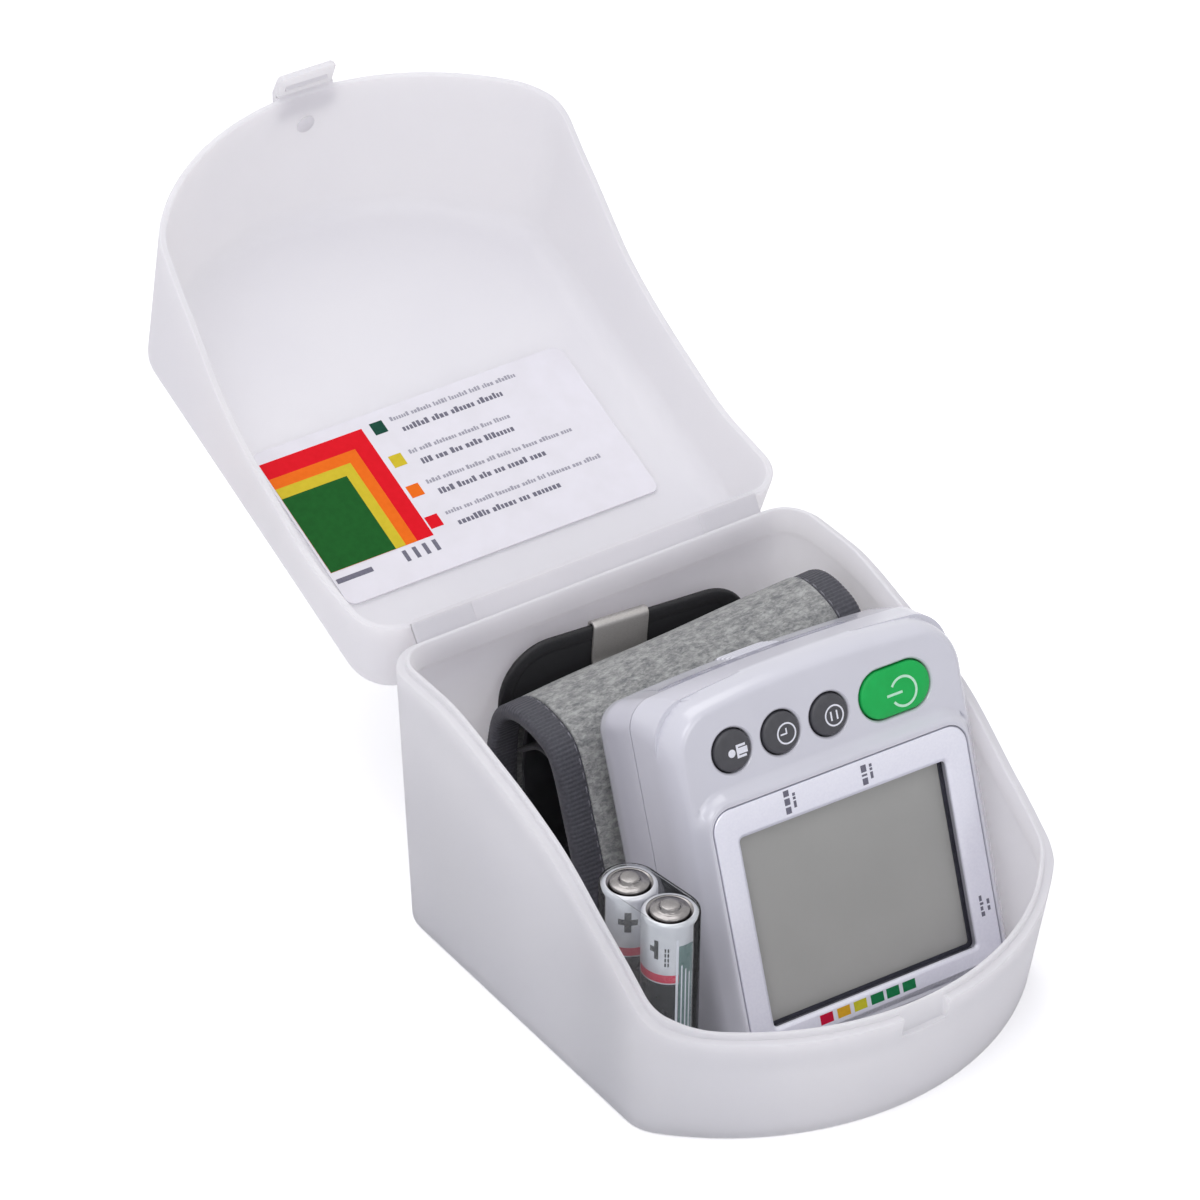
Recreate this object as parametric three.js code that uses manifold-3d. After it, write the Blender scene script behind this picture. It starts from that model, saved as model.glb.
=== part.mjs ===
// Wrist blood pressure monitor lying in its hinged storage case, with its cuff and two AAA cells.
// Millimetres, +Z up. The origin is the centre of the case's underside; the user looks along +Y.
import * as THREE from 'three';
import { mergeVertices } from 'three/addons/utils/BufferGeometryUtils.js';
import Module from 'manifold-3d';

const wasm = await Module();
wasm.setup();

const degrees = Math.PI / 180;

// General fits
const gap = 0.3;
const looseGap = 0.5;
const overrun = 2;

// Display with its glass, its window and the bezel round it; the monitor's other sizes start from these
const glassWidth = 48.6;
const glassHeight = 38.4;
const glassThickness = 1.7;
const glassSideLap = 0.95;
const glassEndLap = 0.3;
const windowRadius = 0.8;
const bezelSideBand = 5.35;
const bezelEndBand = 5.6;
const bezelRise = 0.7;
const bezelRadius = 4;
const bezelThickness = 0.8;
const lensLap = 0.4;
const lensThickness = 1;
const trayWall = 1.2;
const trayFloor = 1.8;
const stripLength = 42;
const stripWidth = 1.8;

// Display side of the monitor, measured from the display's centre on the bezel's face
const plateauSideBorder = 0.9;
const plateauTopBorder = 1.2;
const plateauRadius = 5.5;
const plateauFlare = 1.8;
const unitSideBand = 3.6;
const unitFootBorder = 0.1;
const keyZoneLength = 21;
const keyZoneDepth = 2.3;
const unitTopBow = 1.6;
const unitRearBow = 0.9;
const unitCornerRadius = 9;
const unitRearRadius = 5.5;
const unitFootRadius = 4;
const unitThickness = 30.8;
const unitWall = 1.8;
const seamDepth = 16;
const cavityDrop = 1;

// Levels of the monitor's shells. Each is a share of the depth, of how much narrower and how much lower
// the outline is at most, of its corner radius and of its top's bow
const frontNarrowing = 2.7;
const frontLowering = 2.4;
const frontLevelShares = [[1, 0, 0.417, 0.611, 0.563], [0.5, 0, 0.042, 0.889, 0.813],
  [0.3125, 0.185, 0, 1, 1], [0.206, 0.481, 0.375, 1, 1]];
const rearNarrowing = 2.8;
const rearLowering = 6;
const rearLevelShares = [[0.714, 0.036, 0.367, 1], [0.844, 0.107, 0.5, 0.909], [0.948, 0.321, 0.683, 0.909],
  [1, 1, 1, 0.818]];
const rearFirstShare = 0.183;

// How much of a half circle an end has that is drawn fully round
const roundEndShare = 0.998;

// Keys
const keyRadius = 4.05;
const keyPitch = 10.9;
const keyRowRise = 8.6;
const userKeyFromSide = 12.8;
const powerKeyLength = 15.7;
const powerKeyWidth = 9.4;
const powerKeyPitch = 15.1;
const keyStandsProud = 0.2;
const keyFlange = 0.9;
const keyFlangeThickness = 0.6;
const keyClearance = 0.3;
const keyTravel = 0.5;
const matThickness = 0.5;
const matMargin = 1.2;
const domeRadius = 2.4;
const domeHeight = 0.6;
const domeFilm = 0.2;

// Main board and what is soldered on it
const boardThickness = 1.6;
const boardMargin = 1.7;
const boardFromTop = 5.4;
const boardBottom = 18;
const boardRadius = 3;
const sensorSize = 9;
const sensorHeight = 3.5;
const sensorPortRadius = 1.3;
const sensorPortLength = 2.6;
const buzzerRadius = 4.5;
const buzzerHeight = 3;
const chipHeight = 1.2;
const controllerSize = 10;
const memoryChipLength = 6;
const memoryChipWidth = 5;
const crystalLength = 8;
const crystalWidth = 3;
const sensorPlace = [17, 8];
const buzzerPlace = [-18, -10];

// Pump, valve and air line
const motorRadius = 6.2;
const motorLength = 22;
const motorHubRadius = 2.2;
const motorHubLength = 1;
const pumpPlace = 6.5;
const pumpLeft = -25;
const pumpDepth = 18.4;
const headLength = 13;
const headHeight = 14;
const headDepth = 11;
const portRadius = 1.6;
const portLength = 2.4;
const valveRadius = 4;
const valveLength = 13;
const valvePlace = -5.5;
const valveLeft = -6;
const valveDepth = 20.5;
const saddleThickness = 2;
const tubeRadius = 1.5;
const tubeRise = 5;
const nozzleRadius = 2;
const nozzleBore = 1;
const nozzleInside = 1.4;

// Battery bay for two AAA cells, its contacts and its cover
const cellRadius = 5.25;
const cellLength = 44.5;
const bayWall = 1.2;
const bayCrown = 2.2;
const bayRoom = 0.5;
const bayContactRoom = 6.3;
const bayDeckDepth = 13.4;
const bayDeckThickness = 1;
const contactSize = 7;
const contactThickness = 0.4;
const springWire = 0.35;
const springRadius = 2.8;
const springTipRadius = 1.6;
const springLength = 5.5;
const springTurns = 4;
const coverHalfWidth = 22.8;
const coverShift = -1.2;
const coverLipDepth = 20;
const coverGripWidth = 11;
const coverGripRib = 0.8;
const coverGripRise = 0.35;
const coverGripPitch = 1.7;
const coverGripCount = 4;

// Screws that close the monitor's shells
const screwFromSide = 4.6;
const screwLow = -8.5;
const screwHigh = 17;
const screwHeadRadius = 1.6;
const screwHeadHeight = 1.3;
const screwShankRadius = 0.8;
const screwLength = 19.5;
const screwRecess = 0.5;
const bossRadius = 2;
const bossDepth = 12;
const postRadius = 2.4;
const screwClearance = 0.25;

// How the monitor stands in the case
const unitLean = 21.1;
const unitYaw = -1.4;
const unitRoll = -0.6;

// Cuff rolled behind the monitor
const cuffWidth = 71.8;
const cuffShift = -4.6;
const rollDepth = 39.85;
const rollHeight = 47;
const rollRise = 6;
const riseShare = 0.68;
const feltThickness = 1;
const stiffenerThickness = 0.6;
const bladderThickness = 0.9;
const liningThickness = 0.7;
const bindingWidth = 6.2;
const bindingThickness = 2.6;
const bindingStep = 0.35;
const bladderMargin = 4;
const plateWidth = 44;
const plateHeight = 20;
const plateThickness = 1.2;
const plateRadius = 3;
const plateMiddle = 6;
const rollFootRadius = 6;
const strandReach = 0.7;
const tailThickness = 0.9;
const tailInset = 5;
const tailTopShare = 0.8;

// Black tongue of the cuff that stands up behind the roll, and its metal clip
const tongueWidth = 57.8;
const tongueTopShare = 0.817;
const tongueBottomShare = 0.26;
const tongueThickness = 1.4;
const tongueRadius = 11;
const tongueShift = -8;
const tongueTilt = 3.5;
const clipWidth = 12.6;
const clipHeight = 9;
const clipThickness = 0.6;
const clipShift = -2.2;

// Pair of shrink-wrapped cells standing in the front left corner
const cellTurn = 7.5;
const cellFromFront = 36.4;
const canRadius = 4.9;
const sleeveThickness = 0.2;
const sleeveStart = 0.7;
const sleeveEnd = 42.9;
const canShoulder = 43;
const canCrimpRadius = 4.3;
const capRadius = 3.7;
const capThickness = 0.5;
const nubRadius = 1.9;
const nubSkirtRadius = 2.4;
const nubHeight = 1;
const nubTipShare = 0.9;
const wrapThickness = 0.2;
const wrapRoom = 0.25;
const wrapCollar = 0.8;
const wrapRise = 0.6;

// Storage case
const caseWall = 1.4;
const caseFloor = 1.5;
const roomLeft = 1.3;
const roomMiddle = 8.1;
const roomRight = 0.9;
const roomBack = 2.55;
const roomFront = 25.6;
const backRimHeight = 61.2;
const frontRimHeight = 27.1;
const sideDraft = 2.51;
const backDraft = 0.86;
const frontDraft = 5.15;
const backRadius = 8.7;
const frontRadius = 9;
const bowRadius = 60.2;
const sideShares = [0.13, 0.27, 0.41, 0.55, 0.69, 0.84];
const footRounding = 1.2;
const rimTongueInset = 1.85;
const rimTongueThickness = 0.85;
const rimTongueHeight = 1.5;
const rimBand = 4;
const rimFallShares = [1, 1, 0.881, 0.681, 0.312, 0];
const rimFallEnd = 93.6;

// Lid, as closed
const lidWall = 1.4;
const lidTopWall = 1.2;
const lidBackDepth = 18.6;
const lidFrontDepth = 33.2;
const lidSideDraft = 2.2;
const lidShoulderShare = 0.8;
const lidEdgeRounding = 4;
const lidEdgeDrop = 3;
const lidOpenAngle = 167.7;
const hingeStandOff = 1;
const labelWidth = 73;
const labelHeight = 38.5;
const labelShift = -2.3;
const labelThickness = 0.3;
const labelFromBack = 21;
const labelRadius = 2;

// Latch at the front of the case
const latchWidth = 13;
const latchThickness = 1.6;
const latchReach = 5;
const latchRoot = 5;
const catchWidth = 9.6;
const catchRise = 0.7;
const catchHeight = 1.6;
const notchWidth = 10.4;

// Worked out from the sizes above
const leanSine = Math.sin(unitLean * degrees);
const leanCosine = Math.cos(unitLean * degrees);
const windowWidth = glassWidth - 2 * glassSideLap;
const windowHeight = glassHeight - 2 * glassEndLap;
const bezelWidth = windowWidth + 2 * bezelSideBand;
const bezelHeight = windowHeight + 2 * bezelEndBand;
const plateauHalfWidth = bezelWidth / 2 + plateauSideBorder;
const plateauTop = bezelRise + bezelHeight / 2 + plateauTopBorder;
const unitHalfWidth = plateauHalfWidth + unitSideBand;
const unitTop = plateauTop + keyZoneLength;
const unitFoot = bezelHeight / 2 - bezelRise + unitFootBorder;
const keyRow = plateauTop + keyRowRise;
const userKeyPlace = userKeyFromSide - unitHalfWidth;
const boardHalfWidth = glassWidth / 2 + boardMargin;
const boardTop = unitTop - boardFromTop;
const screwPlace = unitHalfWidth - screwFromSide;
const cellPitch = 2 * cellRadius + gap;
const bayTop = unitTop - 2 * unitWall - bayCrown;
const bayBottom = bayTop - 2 * cellRadius - cellPitch - bayRoom;
const bayHalfLength = (cellLength + bayContactRoom) / 2;
const tongueTop = tongueTopShare * backRimHeight;
const tongueBottom = tongueBottomShare * backRimHeight;
const wrapRadius = cellRadius + wrapRoom + wrapThickness;
const wrapHalfSpread = wrapRadius + cellPitch / 2 * Math.sin(cellTurn * degrees);
const innerHalfFoot = (roomLeft + 2 * wrapHalfSpread + roomMiddle + 2 * unitHalfWidth + roomRight) / 2;
const caseHalfWidth = innerHalfFoot + caseWall + sideDraft;
const strandDepth = unitThickness + gap + plateThickness + gap;
const footArcDepth = strandDepth + rollFootRadius;
const strandLow = (rollFootRadius - unitFoot + footArcDepth * leanSine) / leanCosine;
const rollToUnit = strandLow * leanSine + footArcDepth * leanCosine - rollFootRadius;
const rollBack = caseWall + roomBack + tongueThickness + 2 * gap;
const caseDepth = rollBack + rollDepth + rollToUnit + unitFoot * leanSine / leanCosine + roomFront;
const backY = caseDepth / 2;
const unitX = innerHalfFoot - roomRight - unitHalfWidth;
const unitY = backY - rollBack - rollDepth - rollToUnit;
const unitZ = caseFloor + gap + unitFoot;

// Shape helpers

function toSolid(geometry) {
  const bare = geometry.clone();
  bare.deleteAttribute('normal');
  bare.deleteAttribute('uv');
  const merged = mergeVertices(bare);
  const vertProperties = Float32Array.from(merged.attributes.position.array);
  const triVerts = Uint32Array.from(merged.index.array);
  return new wasm.Manifold(new wasm.Mesh({ numProp: 3, vertProperties, triVerts }));
}

function toGeometry(solid) {
  const { vertProperties, triVerts } = solid.getMesh();
  const geometry = new THREE.BufferGeometry();
  geometry.setAttribute('position', new THREE.BufferAttribute(vertProperties, 3));
  geometry.setIndex(new THREE.BufferAttribute(triVerts, 1));
  geometry.computeVertexNormals();
  return geometry;
}

function join(...solids) {
  return solids.reduce((whole, solid) => whole.add(solid));
}

function cut(solid, ...tools) {
  return tools.reduce((rest, tool) => rest.subtract(tool), solid);
}

// A solid from rings of equal point count, joined side to side, with the end faces given as triangles
function closedSolid(rings, firstCap, lastCap) {
  const count = rings[0].length;
  const positions = rings.flat().flatMap((point) => [point.x, point.y, point.z]);
  const indices = [];
  for (let ring = 0; ring + 1 < rings.length; ring += 1) {
    for (let i = 0; i < count; i += 1) {
      const a = ring * count + i;
      const b = ring * count + (i + 1) % count;
      indices.push(a, b, b + count, a, b + count, a + count);
    }
  }
  const last = (rings.length - 1) * count;
  for (const [a, b, c] of firstCap) indices.push(a, c, b);
  for (const [a, b, c] of lastCap) indices.push(last + a, last + b, last + c);
  const geometry = new THREE.BufferGeometry();
  geometry.setAttribute('position', new THREE.BufferAttribute(new Float32Array(positions), 3));
  geometry.setIndex(indices);
  return toSolid(geometry);
}

// Rings stacked along Z; their order and the way they run round are put right first.
// A turn may then carry the whole stack from Z to another axis.
function loft(stack, turn = (point) => point) {
  const upward = stack[0][0].z < stack.at(-1)[0].z ? stack : [...stack].reverse();
  const anticlockwise = THREE.ShapeUtils.area(upward[0]) > 0;
  const rings = anticlockwise ? upward : upward.map((ring) => [...ring].reverse());
  const cap = (ring) => THREE.ShapeUtils.triangulateShape(ring.map((p) => new THREE.Vector2(p.x, p.y)), []);
  return closedSolid(rings.map((ring) => ring.map(turn)), cap(rings[0]), cap(rings.at(-1)));
}

function atHeight(outline, z) {
  return outline.map((point) => new THREE.Vector3(point.x, point.y, z));
}

function prism(outline, low, high, turn) {
  return loft([atHeight(outline, low), atHeight(outline, high)], turn);
}

function box(x0, x1, y0, y1, z0, z1) {
  const outline = [[x0, y0], [x1, y0], [x1, y1], [x0, y1]].map(([x, y]) => new THREE.Vector2(x, y));
  return prism(outline, z0, z1);
}

function arc(cx, cy, radius, from, to, steps) {
  return Array.from({ length: steps + 1 }, (unused, i) => {
    const angle = from + (to - from) * i / steps;
    return new THREE.Vector2(cx + radius * Math.cos(angle), cy + radius * Math.sin(angle));
  });
}

function roundedRectangle(width, height, radius, cx = 0, cy = 0, steps = 5) {
  const dx = width / 2 - radius;
  const dy = height / 2 - radius;
  const quarter = Math.PI / 2;
  return [[1, 1], [-1, 1], [-1, -1], [1, -1]].flatMap(([sx, sy], i) =>
    arc(cx + sx * dx, cy + sy * dy, radius, i * quarter, (i + 1) * quarter, steps));
}

function disc(radius, cx = 0, cy = 0, steps = 28) {
  return arc(cx, cy, radius, 0, 2 * Math.PI, steps).slice(0, -1);
}

// A cylinder lying along X
function rod(radius, x0, x1, y, z, steps = 24) {
  const geometry = new THREE.CylinderGeometry(radius, radius, x1 - x0, steps);
  geometry.rotateZ(Math.PI / 2);
  geometry.translate((x0 + x1) / 2, y, z);
  return toSolid(geometry);
}

// A solid whose outline lies in the YZ plane and which runs along X
function alongX(outline, x0, x1) {
  return prism(outline, x0, x1, (point) => new THREE.Vector3(point.z, point.x, point.y));
}

// A solid whose outline lies in the XZ plane and which runs along Y
function alongY(outline, y0, y1) {
  return prism(outline, -y1, -y0, (point) => new THREE.Vector3(point.x, -point.z, point.y));
}

function turned(points, steps = 36) {
  const profile = points.map(([r, z]) => new THREE.Vector2(r, z));
  const geometry = new THREE.LatheGeometry(profile, steps);
  geometry.rotateX(Math.PI / 2);
  return toSolid(geometry);
}

function finish(color, roughness, metalness = 0, opacity = 1) {
  return new THREE.MeshStandardMaterial({ color, roughness, metalness, opacity, transparent: opacity < 1 });
}

const casePlastic = finish('#e4e3ee', 0.45, 0, 0.95);
const shellPlastic = finish('#d9d9e6', 0.4);
const satinSilver = finish('#c9cad8', 0.35, 0.6);
const clearPlastic = finish('#f2f4f6', 0.08, 0, 0.3);
const displayGrey = finish('#93938d', 0.3);
const darkRubber = finish('#3b3b40', 0.6);
const greenPlastic = finish('#2bb45e', 0.4);
const boardGreen = finish('#1f6a45', 0.5);
const blackPlastic = finish('#232428', 0.5);
const steel = finish('#b9bbbd', 0.3, 0.95);
const brass = finish('#c9a55a', 0.35, 0.95);
const silicone = finish('#d8d4cc', 0.5);
const felt = finish('#8c8d8a', 0.95);
const bindingTape = finish('#4a4a50', 0.9);
const blackCloth = finish('#17181c', 0.9);
const nickel = finish('#8e8a84', 0.3, 0.95);
const paper = finish('#f1f0f5', 0.6);
const sleeveInk = finish('#c9cacf', 0.35, 0.3);

const object = new THREE.Group();
const inCase = new THREE.Group();
const lidHinge = new THREE.Group();
const unitPlace = new THREE.Group();
const unit = new THREE.Group();
const cellPair = new THREE.Group();
object.add(inCase, lidHinge, unitPlace, cellPair);
unitPlace.add(unit);
unitPlace.position.set(unitX, unitY, unitZ);
unitPlace.rotation.z = unitYaw * degrees;
unit.rotation.set((90 - unitLean) * degrees, 0, unitRoll * degrees);

function place(group, name, solid, material) {
  const mesh = new THREE.Mesh(toGeometry(solid), material);
  mesh.name = name;
  group.add(mesh);
}

// Case: plan outline with round back corners, straight sides and a bowed front

function caseOutline(halfWidth, back, front, inset) {
  const w = halfWidth - inset;
  const yb = back - inset;
  const yf = front + inset;
  const rb = backRadius - inset;
  const rf = frontRadius - inset;
  const bow = bowRadius - inset;
  const bowY = yf + bow;
  const cornerY = bowY - Math.sqrt((bow - rf) ** 2 - (w - rf) ** 2);
  const tilt = Math.atan2(w - rf, bowY - cornerY);
  const half = [
    ...arc(w - rb, yb - rb, rb, Math.PI / 2, 0, 6),
    ...sideShares.map((share) => new THREE.Vector2(w, yb - rb + (cornerY - yb + rb) * share)),
    ...arc(w - rf, cornerY, rf, 0, -Math.PI / 2 + tilt, 7),
    ...arc(0, bowY, bow, -Math.PI / 2 + tilt, -Math.PI / 2, 8).slice(1),
  ];
  const mirrored = half.slice(0, -1).reverse().map((point) => new THREE.Vector2(-point.x, point.y));
  return [...half, ...mirrored].reverse();
}

// The walls lean inwards below the rim: the front wall leans by its own, larger draft
function baseOutline(z, inset) {
  const low = 1 - z / backRimHeight;
  const front = -backY + frontDraft * Math.max(0, 1 - z / frontRimHeight);
  return caseOutline(caseHalfWidth - sideDraft * low, backY - backDraft * low, front, inset);
}

function baseRing(z, inset) {
  return atHeight(baseOutline(z, inset), z);
}

// The rim keeps the back height for a while, falls along an S to the front height and stays there
function rimHeight(y) {
  const share = Math.min(Math.max((backY - y) / rimFallEnd, 0), 1) * (rimFallShares.length - 1);
  const i = Math.min(Math.floor(share), rimFallShares.length - 2);
  const at = (k) => rimFallShares[Math.min(Math.max(k, 0), rimFallShares.length - 1)];
  const slope = (k) => {
    const before = at(k) - at(k - 1);
    const after = at(k + 1) - at(k);
    return before * after > 0 ? 2 * before * after / (before + after) : 0;
  };
  const t = share - i;
  const value = at(i) * (1 + 2 * t) * (1 - t) ** 2 + at(i + 1) * t * t * (3 - 2 * t)
    + slope(i) * t * (1 - t) ** 2 + slope(i + 1) * t * t * (t - 1);
  return frontRimHeight + (backRimHeight - frontRimHeight) * value;
}

// Everything above the rim curve lowered by a drop, or below it
function rimRegion(drop, above) {
  const reach = backY + overrun * overrun;
  const samples = 32;
  const curve = Array.from({ length: samples + 1 }, (unused, i) => {
    const y = reach - 2 * reach * i / samples;
    return new THREE.Vector2(y, rimHeight(y) - drop);
  });
  const far = above ? 2 * backRimHeight : -overrun;
  const outline = [...curve, new THREE.Vector2(-reach, far), new THREE.Vector2(reach, far)];
  const side = 2 * caseHalfWidth;
  return alongX(outline, -side, side);
}

const tall = backRimHeight + overrun;

function caseBase() {
  const outer = loft([baseRing(0, footRounding), baseRing(footRounding, 0), baseRing(frontRimHeight, 0),
    baseRing(tall, 0)]);
  const lip = loft([baseRing(caseFloor, rimTongueInset), baseRing(frontRimHeight, rimTongueInset),
    baseRing(tall, rimTongueInset)]);
  const wide = loft([baseRing(caseFloor, caseWall), baseRing(frontRimHeight, caseWall),
    baseRing(tall, caseWall)]);
  const narrowInset = rimTongueInset + rimTongueThickness;
  const narrow = loft([baseRing(caseFloor, narrowInset), baseRing(frontRimHeight, narrowInset),
    baseRing(tall, narrowInset)]);
  const body = cut(outer, rimRegion(rimTongueHeight, true));
  const tongue = cut(lip, rimRegion(0, true));
  const hollow = cut(wide, rimRegion(rimTongueHeight + rimBand, true));
  const notchTop = frontRimHeight - rimTongueHeight;
  const notch = box(-notchWidth / 2, notchWidth / 2, -backY - overrun, -backY + rimTongueInset,
    notchTop - latchReach + looseGap, notchTop + overrun);
  const notchCore = box(-notchWidth / 2, notchWidth / 2, -backY + catchRise + gap,
    -backY + caseWall + looseGap, notchTop - latchReach, notchTop);
  return join(cut(join(body, tongue), hollow, narrow, notch), cut(notchCore, narrow));
}

// Lid, built as closed: it follows the rim, its top slopes down to the front, and it is hollow

const hingeY = backY + hingeStandOff;
const hingeZ = backRimHeight;
const lidBackTop = backRimHeight + lidBackDepth;
const lidFrontTop = frontRimHeight + lidFrontDepth;
const lidSlope = (lidBackTop - lidFrontTop) / caseDepth;

function lidTopHeight(y, drop) {
  return lidBackTop - lidSlope * (backY - y) - drop;
}

function lidOutline(share, inset) {
  return caseOutline(caseHalfWidth - lidSideDraft * share, backY - backDraft * share, -backY, inset);
}

function lidRing(share, inset, drop) {
  return lidOutline(share, inset).map((point) =>
    new THREE.Vector3(point.x, point.y, lidTopHeight(point.y, drop)));
}

// The wall meets the base's outline on the rim curve; it is drawn on down to one level and cut off there
function lidFoot(shoulder, inset) {
  const level = frontRimHeight - overrun;
  return baseOutline(frontRimHeight, inset).map((point, i) => {
    const rim = rimHeight(point.y);
    const onRim = baseOutline(rim, inset)[i];
    const start = new THREE.Vector3(onRim.x, onRim.y, rim);
    return start.lerp(shoulder[i], (level - rim) / (shoulder[i].z - rim));
  });
}

function lidBody(inset, topDrop, rimDrop) {
  const shoulder = lidRing(lidShoulderShare, inset, topDrop + lidEdgeRounding);
  const solid = loft([lidFoot(shoulder, inset), shoulder,
    lidRing(1, inset + lidEdgeRounding - lidEdgeDrop, topDrop + lidEdgeRounding / 3),
    lidRing(1, inset + lidEdgeRounding, topDrop)]);
  return cut(solid, rimRegion(rimDrop, false));
}

function latchTab() {
  const front = -backY;
  const rim = frontRimHeight - rimTongueHeight;
  const start = rim + gap;
  const end = rim - latchReach;
  const outside = front - gap - latchThickness;
  const besideWall = (z) => front - gap + frontDraft / frontRimHeight * Math.max(0, frontRimHeight - z);
  const root = [[front + lidWall / 2, start], [front + lidWall / 2, rim + latchRoot],
    [front - latchThickness / 2, rim + latchRoot], [outside, start]];
  const hook = [[besideWall(rim), start], [outside, start], [besideWall(end) - latchThickness, end],
    [besideWall(end), end]];
  const catchTop = start - looseGap - 2 * gap;
  const catchBump = [[besideWall(catchTop), catchTop], [besideWall(catchTop), catchTop - catchHeight],
    [besideWall(catchTop) + catchRise, catchTop - catchHeight / 2]];
  const strip = (points, width) =>
    alongX(points.map(([y, z]) => new THREE.Vector2(y, z)), -width / 2, width / 2);
  return join(strip(root, latchWidth), strip(hook, latchWidth), strip(catchBump, catchWidth));
}

function caseLid() {
  const outer = lidBody(0, 0, rimTongueHeight - gap);
  const inner = lidBody(lidWall, lidTopWall, rimTongueHeight + overrun);
  return join(cut(outer, inner), latchTab());
}

// The printed card lies inside the lid against its top
function lidLabel() {
  const y0 = backY - labelFromBack - labelHeight;
  const under = lidTopWall + gap;
  const outline = roundedRectangle(labelWidth, labelHeight, labelRadius, labelShift, y0 + labelHeight / 2);
  const ring = (drop) => outline.map((point) =>
    new THREE.Vector3(point.x, point.y, lidTopHeight(point.y, drop)));
  return loft([ring(under + labelThickness), ring(under)]);
}

place(inCase, 'case_base', caseBase(), casePlastic);
const hingeHalfLength = caseHalfWidth - backRadius;
place(inCase, 'living_hinge', rod(hingeStandOff - gap, -hingeHalfLength, hingeHalfLength, hingeY, hingeZ, 16),
  casePlastic);
lidHinge.position.set(0, hingeY, hingeZ);
lidHinge.rotation.x = -lidOpenAngle * degrees;
const lidParts = new THREE.Group();
lidParts.position.set(0, -hingeY, -hingeZ);
lidHinge.add(lidParts);
place(lidParts, 'case_lid', caseLid(), casePlastic);
place(lidParts, 'lid_label', lidLabel(), paper);

// Monitor shells, in the unit's own axes: X to the right, Y up the face, Z out of the face

function unitOutline(halfWidth, top, inset = 0, radius = unitCornerRadius, topBow = unitTopBow) {
  const w = halfWidth - inset;
  const t = top - inset;
  const r = radius - inset;
  const low = -unitFoot / leanCosine - overrun + inset;
  const side = t - topBow;
  const bow = ((w - r) ** 2 + topBow ** 2) / (2 * topBow);
  const half = Math.asin((w - r) / bow);
  return [
    ...arc(w - unitFootRadius, low + unitFootRadius, unitFootRadius, -Math.PI / 2, 0, 3),
    ...arc(w - r, side - r, r, 0, Math.PI / 2 - half, 5),
    ...arc(0, t - bow, bow, Math.PI / 2 - half, Math.PI / 2 + half, 8).slice(1, -1),
    ...arc(r - w, side - r, r, Math.PI / 2 + half, Math.PI, 5),
    ...arc(unitFootRadius - w, low + unitFootRadius, unitFootRadius, Math.PI, 1.5 * Math.PI, 3),
  ];
}

// One level of a shell: its depth, how much narrower and lower it is, and its corner and bow
function unitRing([depth, narrower, lower, radius, topBow], inset = 0, raise = 0) {
  const outline = unitOutline(unitHalfWidth - narrower, unitTop - lower + raise, inset, radius, topBow);
  return atHeight(outline, depth);
}

// What lies under a plane level with the case's floor, raised by a lift
function belowFoot(lift) {
  const far = 3 * unitFoot;
  const at = (z) => (-(unitFoot - lift) - leanSine * z) / leanCosine;
  const outline = [[at(far), far], [at(-2 * far), -2 * far], [-2 * far, -2 * far], [-2 * far, far]]
    .map(([y, z]) => new THREE.Vector2(y, z));
  const level = new THREE.Euler(0, 0, -unitRoll * degrees);
  return prism(outline, -far, far, (point) =>
    new THREE.Vector3(point.z, point.x, point.y).applyEuler(level));
}

const plateauRings = [[-keyZoneDepth - unitWall, plateauFlare, plateauFlare],
  [-keyZoneDepth, plateauFlare, plateauFlare], [-keyZoneDepth / 3, plateauFlare / 3, plateauFlare / 3],
  [0, 0, 0]];

function plateau() {
  const low = -unitFoot / leanCosine - overrun;
  return loft(plateauRings.map(([z, side, rise]) => {
    const height = plateauTop + rise - low;
    return atHeight(roundedRectangle(2 * (plateauHalfWidth + side), height, plateauRadius,
      0, low + height / 2, 6), z);
  }));
}

const frontLevels = [
  ...frontLevelShares.map(([depth, narrow, low, radius, bow]) => [-depth * seamDepth, narrow * frontNarrowing,
    low * frontLowering, radius * unitCornerRadius, bow * unitTopBow]),
  [-keyZoneDepth, frontNarrowing, frontLowering, unitCornerRadius, unitTopBow],
];
const keyPlaces = {
  button_user: userKeyPlace,
  button_clock: userKeyPlace + keyPitch,
  button_memory: userKeyPlace + 2 * keyPitch,
};
const powerKeyPlace = userKeyPlace + 2 * keyPitch + powerKeyPitch;
const screwPlaces = [-1, 1].flatMap((side) => [screwLow, screwHigh].map((y) => [side * screwPlace, y]));
const cavityTop = -keyZoneDepth - unitWall;
const recessDepth = bezelThickness + gap;

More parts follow.
